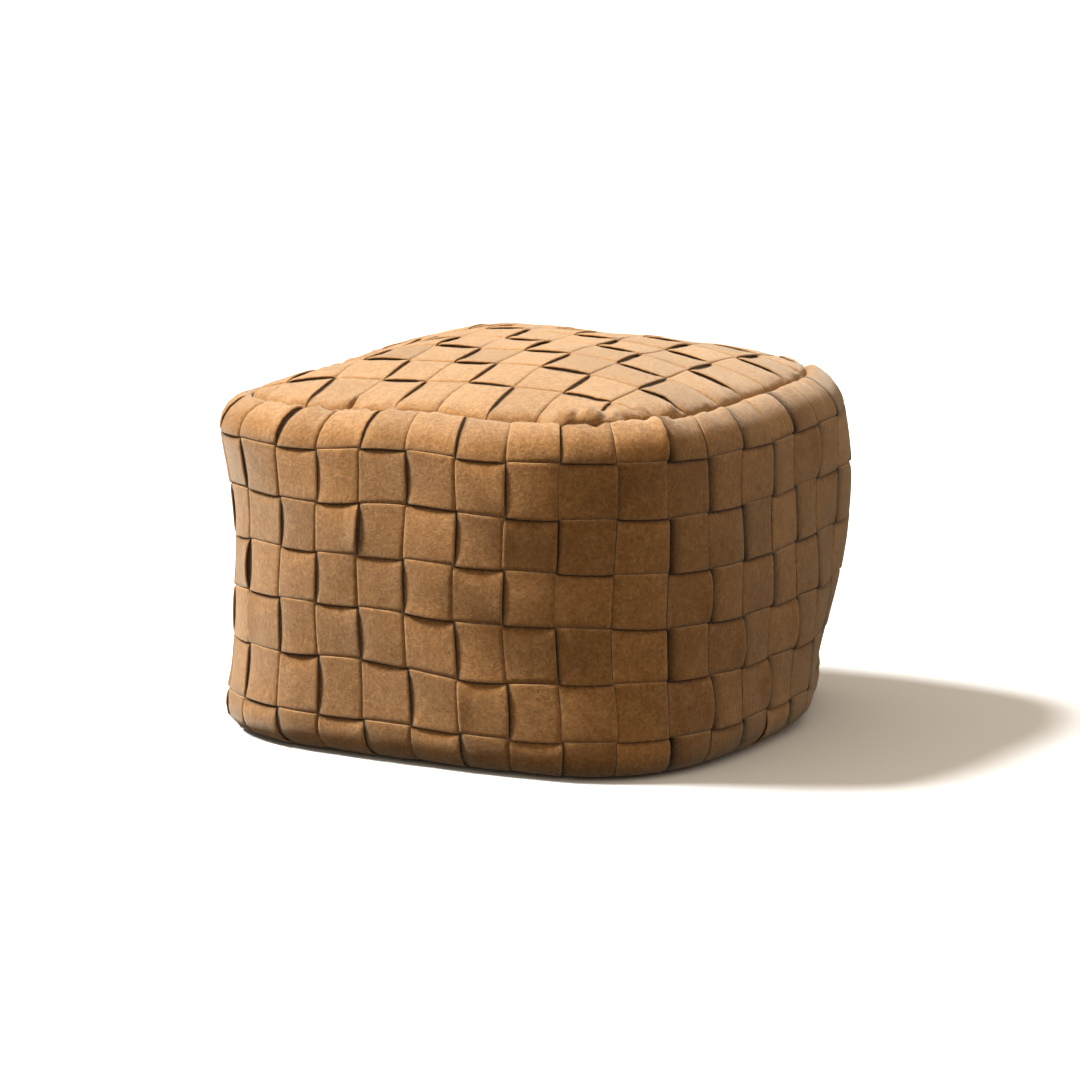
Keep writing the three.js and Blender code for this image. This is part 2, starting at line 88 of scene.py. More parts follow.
middle_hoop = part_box("hoop_strap_4")
next_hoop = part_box("hoop_strap_3")
top_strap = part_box("top_lengthwise_strap_5")
STRAIGHT_ROWS = ROWS - 2 * SHOULDER_ROWS
PITCH = (next_hoop[0].z + next_hoop[1].z - middle_hoop[0].z - middle_hoop[1].z) / 2
HALF = middle_hoop[1].x - SKIN
SEAM_Z = LOW_Z + 2 * SHOULDER_RISE + STRAIGHT_ROWS * PITCH
TOP_PITCH = (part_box("top_lengthwise_strap_6")[1].x - top_strap[1].x)
CROWN = top_strap[1].z - SKIN - SEAM_Z
HALF_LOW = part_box("underside_rear")[1].x + PANEL_INSET + SIDE_DRAW
HALF_TOP = 219 * MM  # half width of the top panel in the CAD
TOP_R = HALF_TOP - SIDE_DRAW  # the top seam's half width
LOW_R = HALF_LOW - SIDE_DRAW

# ---- how the straps lie
THICK = 1.5 * MM
RIDE = 1.5 * MM  # an upper or lower strap rides this far off the middle
RISE_MIDDLE = 0.62  # share of half a cell in which a strap comes up
RISE_EDGE = 0.17  # the same along its edges, which hold up longer
HOOP_LEAN = 0.5  # hoops lean less than uprights
RIGHT_LEAN = 0.25  # straps of the right side lean less
PAINTED_SHADE = 0.88  # painted shade: how much darker a strap is painted where it comes out from under a neighbour
SHADE_REACH = 2.2 * MM  # how far along the strap that painted shade goes
SIDE_SHADE_REACH = 8.0 * MM  # the same painted shade on the right, where raised edges hide more of the gap's own shadow
EDGE_UP = 0.9 * MM  # the edge of an upper cell that stands up
EDGE_DOWN = 0.7 * MM  # and how far its other edge lies down
STEEP = 0.09  # share of half a cell in which a strap goes down
DIP = 0.5  # how low it is where it goes down, in rides
SINK = 0.25  # share of half a cell for the hidden part
TUCK = 0.35  # how low it still is where it comes out, in rides
HALF_STRAP = 0.502  # half width of a strap, in pitches
SEAM_GAP = 1.9 * MM  # each side of a seam stands off it by this much
SEAM_DEPTH = 4.2 * MM  # depth of the groove at a turned seam
SEAM_ROUND = 6.5 * MM  # the cover starts to turn into a seam this far away
ALLOWANCE = 8.0 * MM  # seam allowance, hanging inside
PILLOW = 0.6 * MM  # the filling swells each cell by about this much
SEAM_NEAR = 12 * MM  # layers press together this near a seam
RIM_NEAR = 10 * MM  # and their edges lie flat this near it
SIDE_ROOM = 5.2 * MM  # linings lie this far under the weave's middle

rng = np.random.default_rng(41)


def smooth(x):
    t = np.clip(x, 0, 1)
    return t * t * (3 - 2 * t)


def unit(v):
    return v / np.maximum(np.linalg.norm(v, axis=-1), 1e-12)[..., None]


# ---- outline of the plan
OUTLINE_STEPS = 720


def even_outline(power):
    """Superellipse of unit half width as points evenly spaced along it, from the front right corner."""
    a = -math.pi / 4 + 2 * math.pi * np.arange(4001) / 4000
    c, s = np.cos(a), np.sin(a)
    r = (abs(c) ** power + abs(s) ** power) ** (-1 / power)
    x, y = r * c, r * s
    length = np.concatenate([[0], np.cumsum(np.hypot(np.diff(x), np.diff(y)))])
    want = length[-1] * np.arange(OUTLINE_STEPS + 1) / OUTLINE_STEPS
    return np.stack([np.interp(want, length, x), np.interp(want, length, y)], 1)


MID_OUTLINE = even_outline(SQUARE_MID)
SEAM_OUTLINE = even_outline(SQUARE_SEAM)


def on_outline(outline, column):
    at = np.mod((column + COLUMN_SHIFT) / COLUMNS, 1) * OUTLINE_STEPS
    first = np.minimum(np.floor(at).astype(int), OUTLINE_STEPS - 1)
    share = (at - first)[..., None]
    return outline[first] * (1 - share) + outline[first + 1] * share


# ---- lumps of the filling
def wave_set(length, height, count):
    """Plane waves in space: heading, phase and the way that each one pushes."""
    heading = rng.normal(size=(count, 3))
    heading /= np.linalg.norm(heading, axis=1)[:, None]
    return 2 * math.pi / length * heading, rng.uniform(0, 2 * math.pi, count), \
        rng.normal(size=(count, 3)) * height / math.sqrt(count)


WAVES = [wave_set(0.42, 2.6 * MM, 5), wave_set(0.16, 2.0 * MM, 8), wave_set(0.075, 0.7 * MM, 8)]
FLAT_TO = 12 * MM  # nothing is lumpy below this height
LUMPY_FROM = 60 * MM


# Where the filling has settled: middle, radius and push of each soft dent or swelling.
OUT = np.array([0.87, 0.49, 0])  # outward at the rear right corner
SETTLED = [
    ((-0.215, -0.167, 0.100), 0.080, OUT * 4 * MM),
    ((-0.222, -0.167, 0.275), 0.070, OUT * -5 * MM),
    ((0.215, 0.165, 0.305), 0.060, OUT * -12 * MM),
    ((0.222, 0.167, 0.165), 0.085, OUT * 8 * MM),
    ((0.222, 0.160, 0.030), 0.085, OUT * -30 * MM),
    ((-0.190, 0.000, SEAM_Z + 0.010), 0.120, np.array([0, 0, -9 * MM])),
    ((0.020, 0.190, SEAM_Z + 0.010), 0.150, np.array([0, 0, -11 * MM])),
]


def lumps(p):
    """The same gentle lumps for every layer of the cover, so that they move together."""
    push = sum(np.sin(p @ k.T + phase) @ way for k, phase, way in WAVES)
    share = smooth((p[..., 2] - FLAT_TO) / (LUMPY_FROM - FLAT_TO))
    push[..., 2] *= share
    push = push * (0.35 + 0.65 * share)[..., None]
    for middle, radius, way in SETTLED:
        near = np.exp(-((p - np.array(middle)) ** 2).sum(-1) / radius ** 2)
        push = push + near[..., None] * way
    return p + push


def seam_dive(distance):
    """How far the cover has turned down at a distance from a seam."""
    x = 1 - np.clip(distance / SEAM_ROUND, 0, 1)
    return SEAM_DEPTH * (1 - np.sqrt(np.maximum(0, 1 - x * x)))


PUCKER_RUNS = [(37, 0.2), (61, 1.9), (103, 4.0)]  # ripples round a seam, and their phases
PUCKER = 1.7 * MM
PUCKER_FADE = 16 * MM


def puckers(turn, distance):
    """Small gathers beside a seam.  turn runs from 0 to 1 round the seam."""
    ripple = sum(np.sin(2 * math.pi * n * turn + phase) for n, phase in PUCKER_RUNS)
    patch = 0.6 + 0.4 * np.sin(2 * math.pi * 5 * turn + 0.8)
    return PUCKER * ripple * patch * np.exp(-distance / PUCKER_FADE) * smooth(distance / (3 * MM))


side_pillow = PILLOW * rng.uniform(0.5, 1.5, (COLUMNS, ROWS))
top_pillow = PILLOW * rng.uniform(0.5, 1.4, (PER_SIDE, PER_SIDE))


def pillow(heights, a, b):
    """Swelling of each cell of a weave."""
    i = np.clip(np.floor(a).astype(int), 0, heights.shape[0] - 1)
    j = np.clip(np.floor(b).astype(int), 0, heights.shape[1] - 1)
    p = np.clip(2 * (a - i) - 1, -1, 1)
    q = np.clip(2 * (b - j) - 1, -1, 1)
    return heights[i, j] * (1 - p * p) * (1 - q * q)


def shoulder(rows_in):
    angle = SHOULDER_TURN * np.maximum(0, rows_in) / SHOULDER_ROWS
    inset = (1 - np.cos(angle)) / (1 - math.cos(SHOULDER_TURN))
    return inset, np.sin(angle) / math.sin(SHOULDER_TURN), angle


def side_surface(column, row):
    """Middle of the side weave.  Rows under 0 and over ROWS are the seam allowances."""
    inside = np.clip(row, 0, ROWS)
    top_in, top_rise, top_angle = shoulder(SHOULDER_ROWS - inside)
    low_in, low_rise, low_angle = shoulder(inside - (ROWS - SHOULDER_ROWS))
    low_in = low_in ** LOW_SQUARE
    squaring = np.minimum(1, ((inside - ROWS / 2) / (ROWS / 2)) ** 2)
    half = HALF - (HALF - HALF_TOP) * top_in - (HALF - HALF_LOW) * low_in - SIDE_DRAW * squaring
    share = squaring[..., None]
    plan = on_outline(MID_OUTLINE, column) * (1 - share) + on_outline(SEAM_OUTLINE, column) * share
    ahead = on_outline(MID_OUTLINE, column + 0.05) - on_outline(MID_OUTLINE, column - 0.05)
    outward = unit(np.stack([ahead[..., 1], -ahead[..., 0]], -1))
    up = STRAIGHT_ROWS - np.clip(inside - SHOULDER_ROWS, 0, STRAIGHT_ROWS)
    z = LOW_Z + SHOULDER_RISE * (1 - low_rise + top_rise) + PITCH * up
    top_gap, low_gap = inside * SEAM_RUN, (ROWS - inside) * SEAM_RUN
    near = np.minimum(top_gap, low_gap)
    rise = pillow(side_pillow, np.mod(column, COLUMNS), inside) - seam_dive(near)
    rise = rise + puckers(np.mod(column / COLUMNS, 1), top_gap)
    level = np.cos(top_angle) * np.cos(low_angle)
    climb = np.sin(top_angle) - np.sin(low_angle)
    apart = SEAM_GAP * (1 - smooth(near / SEAM_NEAR))
    xy = plan * half[..., None] + outward * (rise * level + apart)[..., None]
    over = (np.maximum(0, -row) - np.maximum(0, row - ROWS)) * SEAM_RUN
    z = z + rise * climb - over
    return lumps(np.concatenate([xy, z[..., None]], -1))


def reach_of(x, y):
    return (abs(x) ** SQUARE_SEAM + abs(y) ** SQUARE_SEAM) ** (1 / SQUARE_SEAM)


def top_surface(x, y):
    """Middle of the top weave.  Points past the seam hang down inside as the seam allowance."""
    r = np.maximum(reach_of(x, y), 1e-9)
    edge = TOP_R - SEAM_GAP
    keep = np.minimum(1, edge / r)
    x, y = x * keep, y * keep
    gap = np.maximum(0, edge - r)
    turn = np.mod(np.arctan2(y, x) / (2 * math.pi) + 0.125, 1)
    cells_x, cells_y = x / TOP_PITCH + PER_SIDE / 2, y / TOP_PITCH + PER_SIDE / 2
    z = SEAM_Z + CROWN * (1 - np.minimum(1, r / HALF_TOP) ** CROWN_POWER) - seam_dive(gap)
    z = z + pillow(top_pillow, cells_x, cells_y) + puckers(turn, gap) - np.maximum(0, r - edge)
    return lumps(np.stack([x, y, z], -1))


SIDE_STEP = 0.006  # steps for the slope of a surface, in cells
FLAT_STEP = 0.3 * MM


def frame_of(surface, a, b, step, flip):
    """Points of a surface and its outward normals."""
    along = surface(a + step, b) - surface(a - step, b)
    across = surface(a, b + step) - surface(a, b - step)
    return surface(a, b), unit(np.cross(along, across) * flip)


def side_frame(column, row):
    return frame_of(side_surface, column, row, SIDE_STEP, -1)


def top_frame(x, y):
    return frame_of(top_surface, x, y, FLAT_STEP, 1)


# ---- meshes
def new_object(name, data):
    obj = bpy.data.objects.new(name, data)
    bpy.context.scene.collection.objects.link(obj)
    return obj


def mesh_of(name, points, quads, attributes=()):
    """A smooth mesh from an array of points and an array of quads, with named values on its points."""
    mesh = bpy.data.meshes.new(name)
    mesh.vertices.add(len(points))
    mesh.vertices.foreach_set("co", points.astype(np.float32).ravel())
    mesh.loops.add(quads.size)
    mesh.loops.foreach_set("vertex_index", quads.astype(np.int32).ravel())
    mesh.polygons.add(len(quads))
    mesh.polygons.foreach_set("loop_start", np.arange(0, quads.size, 4, dtype=np.int32))
    mesh.polygons.foreach_set("use_smooth", np.ones(len(quads), bool))
    mesh.update(calc_edges=True)
    mesh.validate()
    for key, values in attributes:
        layer = mesh.attributes.new(key, "FLOAT", "POINT")
        layer.data.foreach_set("value", values.astype(np.float32).ravel())
    return mesh


def band_quads(stations, ring, closed):
    """Quads of a tube of rings, with caps of quads across it if its ends are open."""
    j = np.arange(stations if closed else stations - 1)[:, None]
    i = np.arange(ring)[None, :]
    following = (j + 1) % stations
    beside = (i + 1) % ring
    sides = np.stack([j * ring + i, j * ring + beside, following * ring + beside,
                      following * ring + i], -1).reshape(-1, 4)
    if closed:
        return sides
    k = np.arange(ring // 2 - 1)
    first = np.stack([k, ring - 1 - k, ring - 2 - k, k + 1], -1)
    last = (stations - 1) * ring + first[:, ::-1]
    return np.concatenate([sides, first, last])


EDGE_TOP = 0.30  # a cut edge rounds off to this level
EDGE_LOW = -0.42


def ribbon(name, points, normals, rise, tone, closed=False, thick=THICK, flip=False):
    """A closed ribbon over a grid of points (stations, across), raised by rise along the normals."""
    across = points.shape[1]
    level_top = np.full(across, 0.5)
    level_low = np.full(across, -0.5)
    level_top[[0, -1]] = EDGE_TOP
    level_low[[0, -1]] = EDGE_LOW
    top = points + normals * (rise + thick * level_top)[..., None]
    low = points + normals * (rise + thick * level_low)[..., None]
    rings = np.concatenate([top, low[:, ::-1]], 1)
    edge = np.zeros(rings.shape[:2])
    edge[:, [0, across - 1, across, -1]] = 1
    edge[:, [1, across - 2]] = 0.25
    # the tone attribute holds a strap's own tone and, on woven straps, painted shade where it comes out
    # from under a neighbour
    both = np.concatenate([tone, tone[:, ::-1]], 1)
    quads = band_quads(len(points), 2 * across, closed)
    if flip:
        quads = quads[:, ::-1]
    return mesh_of(name, rings.reshape(-1, 3), quads, (("edge", edge), ("tone", both)))


# ---- where a strap is measured
SECTION = np.array([-1, -0.965, -0.87, -0.62, -0.3, 0, 0.3, 0.62, 0.87, 0.965, 1])
CELL = np.array([-1, -0.96, -0.90, -0.80, -0.65, -0.42, 0, 0.42, 0.65, 0.80, 0.90, 0.96])
END_SECTION = np.array([0, 0.01, 0.06, 0.11, 0.135, 0.15, 0.17, 0.2, 0.25, 0.31, 0.4, 0.55, 0.7, 0.84,
                        0.94, 0.982, 1])  # shares of an end strap of the top, from its seam inwards
RIM = np.array([-1, -0.95, -0.5, -0.1, 0, 0.06, 0.14, 0.27, 0.45, 0.68, 1.0, 1.5]) * ALLOWANCE


def cell_places(count):
    """Places along a strap that crosses count cells, more of them where it changes sides."""
    return np.concatenate([k + (CELL + 1) / 2 for k in range(count)] + [[count]])


def seamed_places(count, rim):
    """The same places, with those near both ends set out from the seams."""
    inner = cell_places(count)
    inner = inner[(inner > rim[-1] + 0.05) & (inner < count - rim[-1] - 0.05)]
    return np.concatenate([rim, inner, count - rim[::-1]])


def rim_section(first, last):
    """Places across a strap whose first edge is in a seam.  The seam is at 0."""
    rest = np.array([0.5, 0.66, 0.8, 0.91, 0.976, 1.0]) * last
    return np.concatenate([first, rest])


def ramp(distance, run):
    return np.sin(math.pi / 2 * np.clip(distance / run, 0, 1))


def riding(place, cell, a, upper, tucked_end):
    """How far a strap rides off the middle, from -1 to 1.

    It comes out low and slowly from under the raised edge of one neighbour, and goes down steeply
    under the flat edge of the next.  tucked_end is -1 or 1, the end of a cell where it comes out.
    """
    run = RISE_MIDDLE + (RISE_EDGE - RISE_MIDDLE) * smooth((abs(a) - 0.35) / 0.6)
    tau = (2 * (place - cell) - 1) * tucked_end
    inward = 1 - abs(tau)
    low = np.where(tau > 0, TUCK, DIP)
    rising = ramp(inward, np.where(tau > 0, run, STEEP)) * (1 + low) - low
    sinking = -ramp(inward, SINK) * (1 - low) - low
    return np.where(upper, rising, sinking)


def cell_at(place, last):
    """The cell that a place is in, and where in that cell, from -1 to 1."""
    cell = np.clip(np.floor(place), 0, last - 1).astype(int)
    return cell, np.clip(2 * (place - cell) - 1, -1, 1)


def weave_side(place, last, a, over, tucked_end=-1):
    """+1 where a strap rides over, -1 where it goes under, turning smoothly between cells."""
    cell = cell_at(place, last)[0]
    upper = over(cell)
    ends = (place < 0.5) | (place > last - 0.5)
    return np.where(ends, np.where(upper, 1, -1), riding(place, cell, a, upper, tucked_end))


def ring_side(place, a, over):
    """The same for a strap that closes on itself."""
    cell = np.floor(place).astype(int)
    return riding(place, cell, a, over(cell), -1)


def painted_tuck_shade(place, last, cell_long, over, reach, tucked_end=-1):
    """Painted shade: a strap is painted darker where it comes out from under its neighbour, standing in for
    the shadow in that gap.
    """
    cell, tau = cell_at(place, last)
    from_end = (1 - tau * tucked_end) / 2 * cell_long
    within = (place > 0.5) & (place < last - 0.5)
    return np.where(over(cell) & within, -PAINTED_SHADE * np.exp(-(from_end / reach) ** 2), 0)


def tilt(place, last, a, over, raised=1):
    """An upper cell leans: one edge stands up and the other lies flat.  raised is -1 or 1."""
    cell, tau = cell_at(place, last)
    lean = np.sign(a) * smooth((abs(a) - 0.15) / 0.85) * raised
    height = np.where(lean > 0, EDGE_UP, EDGE_DOWN)
    return np.where(over(cell), lean * height * (1 - tau ** 6), 0)


def curl(place, last, a, lifts, over):
    """Free edges of an upper cell lift a little.  lifts holds a height for each cell and edge."""
    cell, tau = cell_at(place, last)
    low, high = lifts[cell, 0], lifts[cell, 1]
    height = np.where(a < 0, low, high) * smooth((abs(a) - 0.45) / 0.55)
    return np.where(over(cell), height * (1 - tau * tau), 0)


def seam_press(distance):
    """Layers are pressed together towards a seam."""
    return 0.5 + 0.5 * smooth(distance / SEAM_NEAR)


# How much the tone changes from strap to strap, and from cell to cell of one strap.
TONE_SPREAD = {"upright": (0.06, 0.04), "hoop": (0.05, 0.045), "top": (0.045, 0.025)}


def tone_of(kind, place, count):
    """Tone of one hide strip that crosses count cells."""
    of_strap, of_cell = TONE_SPREAD[kind]
    strap_tone = rng.normal(0, of_strap)
    return strap_tone + np.interp(place, np.arange(count) + 0.5, rng.normal(0, of_cell, count))


def drift(place, size=0.012):
    """A strap isn't quite straight: it wanders by a small share of the pitch."""
    a, b, c = rng.uniform(0, 2 * math.pi, 3)
    slow = np.sin(place * 1.1 + a) + 0.6 * np.sin(place * 2.3 + b)
    return size * (slow + 0.4 * np.sin(place * 4.1 + c))


def waist(place):
    """A strap narrows a little where it passes between its neighbours."""
    beside = 1 - abs(2 * np.mod(place, 1) - 1)
    return 1 - 0.02 * np.exp(-(beside / 0.2) ** 2)


def edge_lifts(count, least=(0.0, 0.1)):
    """How far the two free edges of each upper cell curl up.  least is in mm."""
    extra = rng.uniform(0, 0.7, (count, 2)) * rng.uniform(0.3, 1.2, (count, 1))
    return (np.array(least) + extra) * MM


# Places where an edge gapes: (column, row, edge, height in mm).  Edge 0 is the first edge of the strap.
GAPING_UPRIGHTS = [
    (0, 0, 1, 6.0), (34, 2, 0, 2.6), (28, 4, 0, 4.0), (1, 3, 1, 3.6), (1, 5, 1, 3.4), (5, 1, 1, 3.0),
    (35, 1, 1, 4.0), (30, 2, 1, 3.0), (33, 5, 0, 2.8), (4, 6, 0, 3.0), (13, 3, 1, 2.2), (2, 4, 1, 3.6),
    (3, 5, 1, 4.0), (4, 4, 1, 3.4), (28, 0, 1, 2.6), (27, 3, 1, 3.0), (16, 4, 0, 2.4), (22, 4, 1, 2.2),
    (19, 1, 0, 2.0), (10, 2, 0, 2.4)]
GAPING_HOOPS = [(32, 3, 1, 1.8), (2, 3, 0, 1.4), (29, 4, 1, 1.6), (6, 3, 1, 1.8), (15, 4, 1, 1.8),
                (21, 4, 1, 2.0), (8, 5, 1, 1.5)]
CREASED = {27: 0.35, 28: 0.3, 31: 0.75, 3: 0.3, 12: 0.4, 20: 0.5}  # columns, and depths in mm


def creases(column, rows, a):
    """Soft creases along a strap that has been bent."""
    depth = CREASED.get(column, 0) * MM
    wander = 0.35 * np.sin(rows * 2.3 + column) + 0.2 * np.sin(rows * 5.1)
    fold = np.sin(2 * math.pi * (1.1 * a + wander)) + 0.6 * np.sin(2 * math.pi * (2.1 * a - wander))
    return depth * fold * (1 - a * a) * (0.6 + 0.4 * np.sin(rows * 3.1 + 1))


def upright_over(column, row):
    return (column + row) % 2 == 0


# ---- pieces of the weave
side_rim = RIM / SEAM_RUN


def keep_piece(name, mesh, slot, *nodes, body="pouf", material=None):
    """A finished piece, with the material of its slot unless it has one of its own."""
    obj = new_object(name, mesh)
    mesh.materials.append(material or MATERIALS[slot])
    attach(obj, body)
    if nodes:
        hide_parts(*nodes)
    return obj


def upright(column):
    row = seamed_places(ROWS, side_rim)
    centre = column + 0.5 + drift(row)
    a = SECTION[None, :]
    columns = centre[:, None] + a * HALF_STRAP * (waist(row) + drift(row, 0.006))[:, None]
    rows = np.broadcast_to(row[:, None], columns.shape)
    points, normals = side_frame(columns, rows)
    over = lambda cell: upright_over(column, cell)
    lifts = edge_lifts(ROWS)
    for c, r, edge, height in GAPING_UPRIGHTS:
        if c == column:
            lifts[r, edge] = height * MM
    near = np.minimum(rows, ROWS - rows) * SEAM_RUN
    rise = RIDE * weave_side(rows, ROWS, a, over) * seam_press(near)
    lean = RIGHT_LEAN if column < PER_SIDE else 1.0
    rise = rise + curl(rows, ROWS, a + 0 * rows, lifts, over) + lean * tilt(rows, ROWS, a, over)
    rise = rise + creases(column, rows, a)
    # painted shade where the strap comes out from under a neighbour, added to its tone
    shade = painted_tuck_shade(rows, ROWS, PITCH, over, SHADE_REACH)
    tone = tone_of("upright", rows, ROWS)
    return ribbon(f"upright_{column + 1:02d}", points, normals, rise, tone + shade)


ENDLESS = 2 * COLUMNS  # a hoop has no last cell


def hoop(row):
    place = cell_places(COLUMNS)[:-1]
    drifted = drift(place * 4 * math.pi / COLUMNS)
    if row == 0:
        across = rim_section(side_rim, 0.5 + HALF_STRAP)[None, :] + 0 * drifted[:, None]
    elif row == ROWS - 1:
        across = ROWS - rim_section(side_rim, 0.5 + HALF_STRAP)[None, ::-1] + 0 * drifted[:, None]
    else:
        across = row + 0.5 + SECTION[None, :] * HALF_STRAP * waist(place)[:, None] + drifted[:, None]
    columns = np.broadcast_to(place[:, None], across.shape)
    points, normals = side_frame(columns, across)
    over = lambda cell: ~upright_over(cell, row)
    a = np.clip((across - row - 0.5) / HALF_STRAP, -1, 1)
    lifts = edge_lifts(COLUMNS)
    for c, r, edge, height in GAPING_HOOPS:
        if r == row:
            lifts[c, edge] = height * MM
    if row == 0:
        lifts[:, 0] = 0
    if row == ROWS - 1:
        lifts[:, 1] = 0
    near = np.maximum(0, np.minimum(across, ROWS - across)) * SEAM_RUN
    inside = smooth(near / RIM_NEAR)
    rise = RIDE * ring_side(columns, a, over) * seam_press(near)
    lean = HOOP_LEAN * tilt(columns, COLUMNS, a, over) * inside
    rise = rise + curl(columns, COLUMNS, a, lifts, over) + lean
    tone = tone_of("hoop", columns, COLUMNS)
    # painted shade reaches further on the right side, where the gaps' own shadow is hidden
    reach = np.where(columns < PER_SIDE + 1, SIDE_SHADE_REACH, SHADE_REACH)
    shade = painted_tuck_shade(columns, ENDLESS, PITCH, over, reach)
    return ribbon(f"hoop_{row + 1}", points, normals, rise, tone + shade, closed=True, flip=True)


def outline_reach(across, edge):
    """How far a strap runs to the outline of half width edge, at a distance across the panel."""
    share = np.clip(abs(across) / edge, 0, 0.9995)
    return edge * (1 - share ** SQUARE_SEAM) ** (1 / SQUARE_SEAM)


TAIL = 30 * MM  # the end of a top strap is drawn in over this length


def top_strap_mesh(number, lengthwise):
    """A strap of the top panel, cut to the panel's outline and turned down into its seam."""
    edge = TOP_R - SEAM_GAP
    half_cells = PER_SIDE / 2
    nominal = (cell_places(PER_SIDE) - half_cells) * TOP_PITCH
    rim = edge - RIM[::-1]
    inner = nominal[abs(nominal) < rim[0] - 1 * MM]
    along = np.concatenate([-rim[::-1], inner, rim])
    wander = drift(along / TOP_PITCH)
    centre = (number + 0.5 - half_cells) * TOP_PITCH
    if number in (0, PER_SIDE - 1):
        inner_edge = (half_cells - 0.5 - HALF_STRAP) * TOP_PITCH
        outer = edge + 0.9 * ALLOWANCE
        section = outer - (outer - inner_edge) * END_SECTION
        section = section[::-1] if number else -section
        across = section[None, :] + 0 * wander[:, None]
    else:
        narrow = waist(along / TOP_PITCH + half_cells)[:, None]
        across = centre + (SECTION[None, :] * HALF_STRAP * narrow + wander[:, None]) * TOP_PITCH
    whole = edge + ALLOWANCE
    reach = outline_reach(across, whole)
    start = np.maximum(reach - TAIL, 0.2 * reach)
    length = abs(along)[:, None] + 0 * across
    past = start + (length - start) / np.maximum(whole - start, 1e-6) * (reach - start)
    run = np.where(length > start, past, length) * np.sign(along)[:, None]
    x, y = (across, run) if lengthwise else (run, across)
    points, normals = top_frame(x, y)
    cells = run / TOP_PITCH + half_cells
    over = lambda cell: ((number + cell) % 2 == 1) == lengthwise
    a = np.clip((across - centre) / (HALF_STRAP * TOP_PITCH), -1, 1)
    lifts = edge_lifts(PER_SIDE, (0.0, 0.1) if lengthwise else (0.1, 0.0))
    if number == 0:
        lifts[:, 0] = 0
    if number == PER_SIDE - 1:
        lifts[:, 1] = 0
    gap = np.maximum(0, edge - reach_of(x, y))
    inside = smooth(gap / RIM_NEAR)
    rise = RIDE * weave_side(cells, PER_SIDE, a, over, 1 if lengthwise else -1) * seam_press(gap)
    lean = tilt(cells, PER_SIDE, a, over, 1 if lengthwise else -1)
    rise = rise + (curl(cells, PER_SIDE, a, lifts, over) + lean) * inside
    tone = tone_of("top", cells, PER_SIDE)
    kind = "lengthwise" if lengthwise else "crosswise"
    # painted shade where the strap comes out from under a neighbour, added to its tone
    shade = painted_tuck_shade(cells, PER_SIDE, TOP_PITCH, over, SHADE_REACH, 1 if lengthwise else -1) * inside
    return ribbon(f"top_{kind}_{number + 1}", points, normals, rise, tone + shade, flip=lengthwise)


# ---- materials
def node_material(name, color, roughness, metallic=0.0, sheen=0.0):
    """A new node material and its shader."""
    material = bpy.data.materials.new(name)
    material.use_nodes = True
    material.diffuse_color = (*color, 1)
    shader = material.node_tree.nodes["Principled BSDF"]
    shader.inputs["Base Color"].default_value = (*color, 1)
    shader.inputs["Roughness"].default_value = roughness
    shader.inputs["Metallic"].default_value = metallic
    shader.inputs["Sheen Weight"].default_value = sheen
    return material, shader


def rgba(color):
    return (*color, 1) if isinstance(color, tuple) else color


class Nodes:
    """Short ways to add linked nodes to a material or a world."""

    def __init__(self, owner):
        self.tree = owner.node_tree
        self.coords = self.tree.nodes.new("ShaderNodeTexCoord")
        self.place = self.coords.outputs["Object"]

    def link(self, source, target):
        self.tree.links.new(source, target)

    def add(self, kind, inputs, **settings):
        """A new node with its settings, and a value or a link for each socket named."""
        node = self.tree.nodes.new("ShaderNode" + kind)
        for key, value in settings.items():
            setattr(node, key, value)
        for key, value in inputs.items():
            if isinstance(value, bpy.types.NodeSocket):
                self.link(value, node.inputs[key])
            else:
                node.inputs[key].default_value = value
        return node

    def noise(self, scale, detail=3.0, rough=0.55, stretch=None):
        place = self.place
        if stretch:
            place = self.add("Mapping", {"Vector": place, "Scale": stretch}).outputs["Vector"]
        inputs = {"Vector": place, "Scale": scale, "Detail": detail, "Roughness": rough}
        return self.add("TexNoise", inputs).outputs["Fac"]

    def wave(self, scale, direction, distortion=0.0):
        inputs = {"Vector": self.place, "Scale": scale, "Distortion": distortion}
        return self.add("TexWave", inputs, bands_direction=direction).outputs["Fac"]

    def upward(self, direction):
        """The Z part of a direction: 1 where it points up, 0 where it is level."""
        return self.add("SeparateXYZ", {0: direction}).outputs["Z"]

    def facing_up(self):
        return self.upward(self.add("NewGeometry", {}).outputs["Normal"])

    def attribute(self, name):
        return self.add("Attribute", {}, attribute_name=name).outputs["Fac"]

    def math(self, operation, a, b):
        return self.add("Math", {0: a, 1: b}, operation=operation).outputs[0]

    def spread(self, source, low, high, to_low=0.0, to_high=1.0):
        inputs = {"Value": source, "From Min": low, "From Max": high, "To Min": to_low, "To Max": to_high}
        return self.add("MapRange", inputs).outputs["Result"]

    def mix(self, factor, a, b):
        """Color a, and color b by the share that factor gives."""
        inputs = {"Factor": factor, 6: rgba(a), 7: rgba(b)}
        return self.add("Mix", inputs, data_type="RGBA").outputs[2]

    def brightness(self, color, factor):
        """color times a grey factor."""
        return self.add("VectorMath", {0: color, "Scale": factor}, operation="SCALE").outputs["Vector"]

    def bump(self, height, distance, strength=1.0, after=None):
        inputs = {"Height": height, "Distance": distance, "Strength": strength}
        if after:
            inputs["Normal"] = after
        return self.add("Bump", inputs).outputs["Normal"]


PAINTED_TOP_LIGHT = (0.58, 0.405, 0.25)  # paler suede colour painted where the cover faces up: painted light for the brightly lit top
PAINTED_TOP_LIGHT_SHARE = 0.36  # how much of that painted light shows where the cover faces straight up
SUEDE_SHEEN = 0.65
SUEDE_SHEEN_ROUGH = 0.32
SUEDE_SHEEN_TINT = (1.0, 0.95, 0.80, 1)
SUEDE_SPECULAR = 0.18


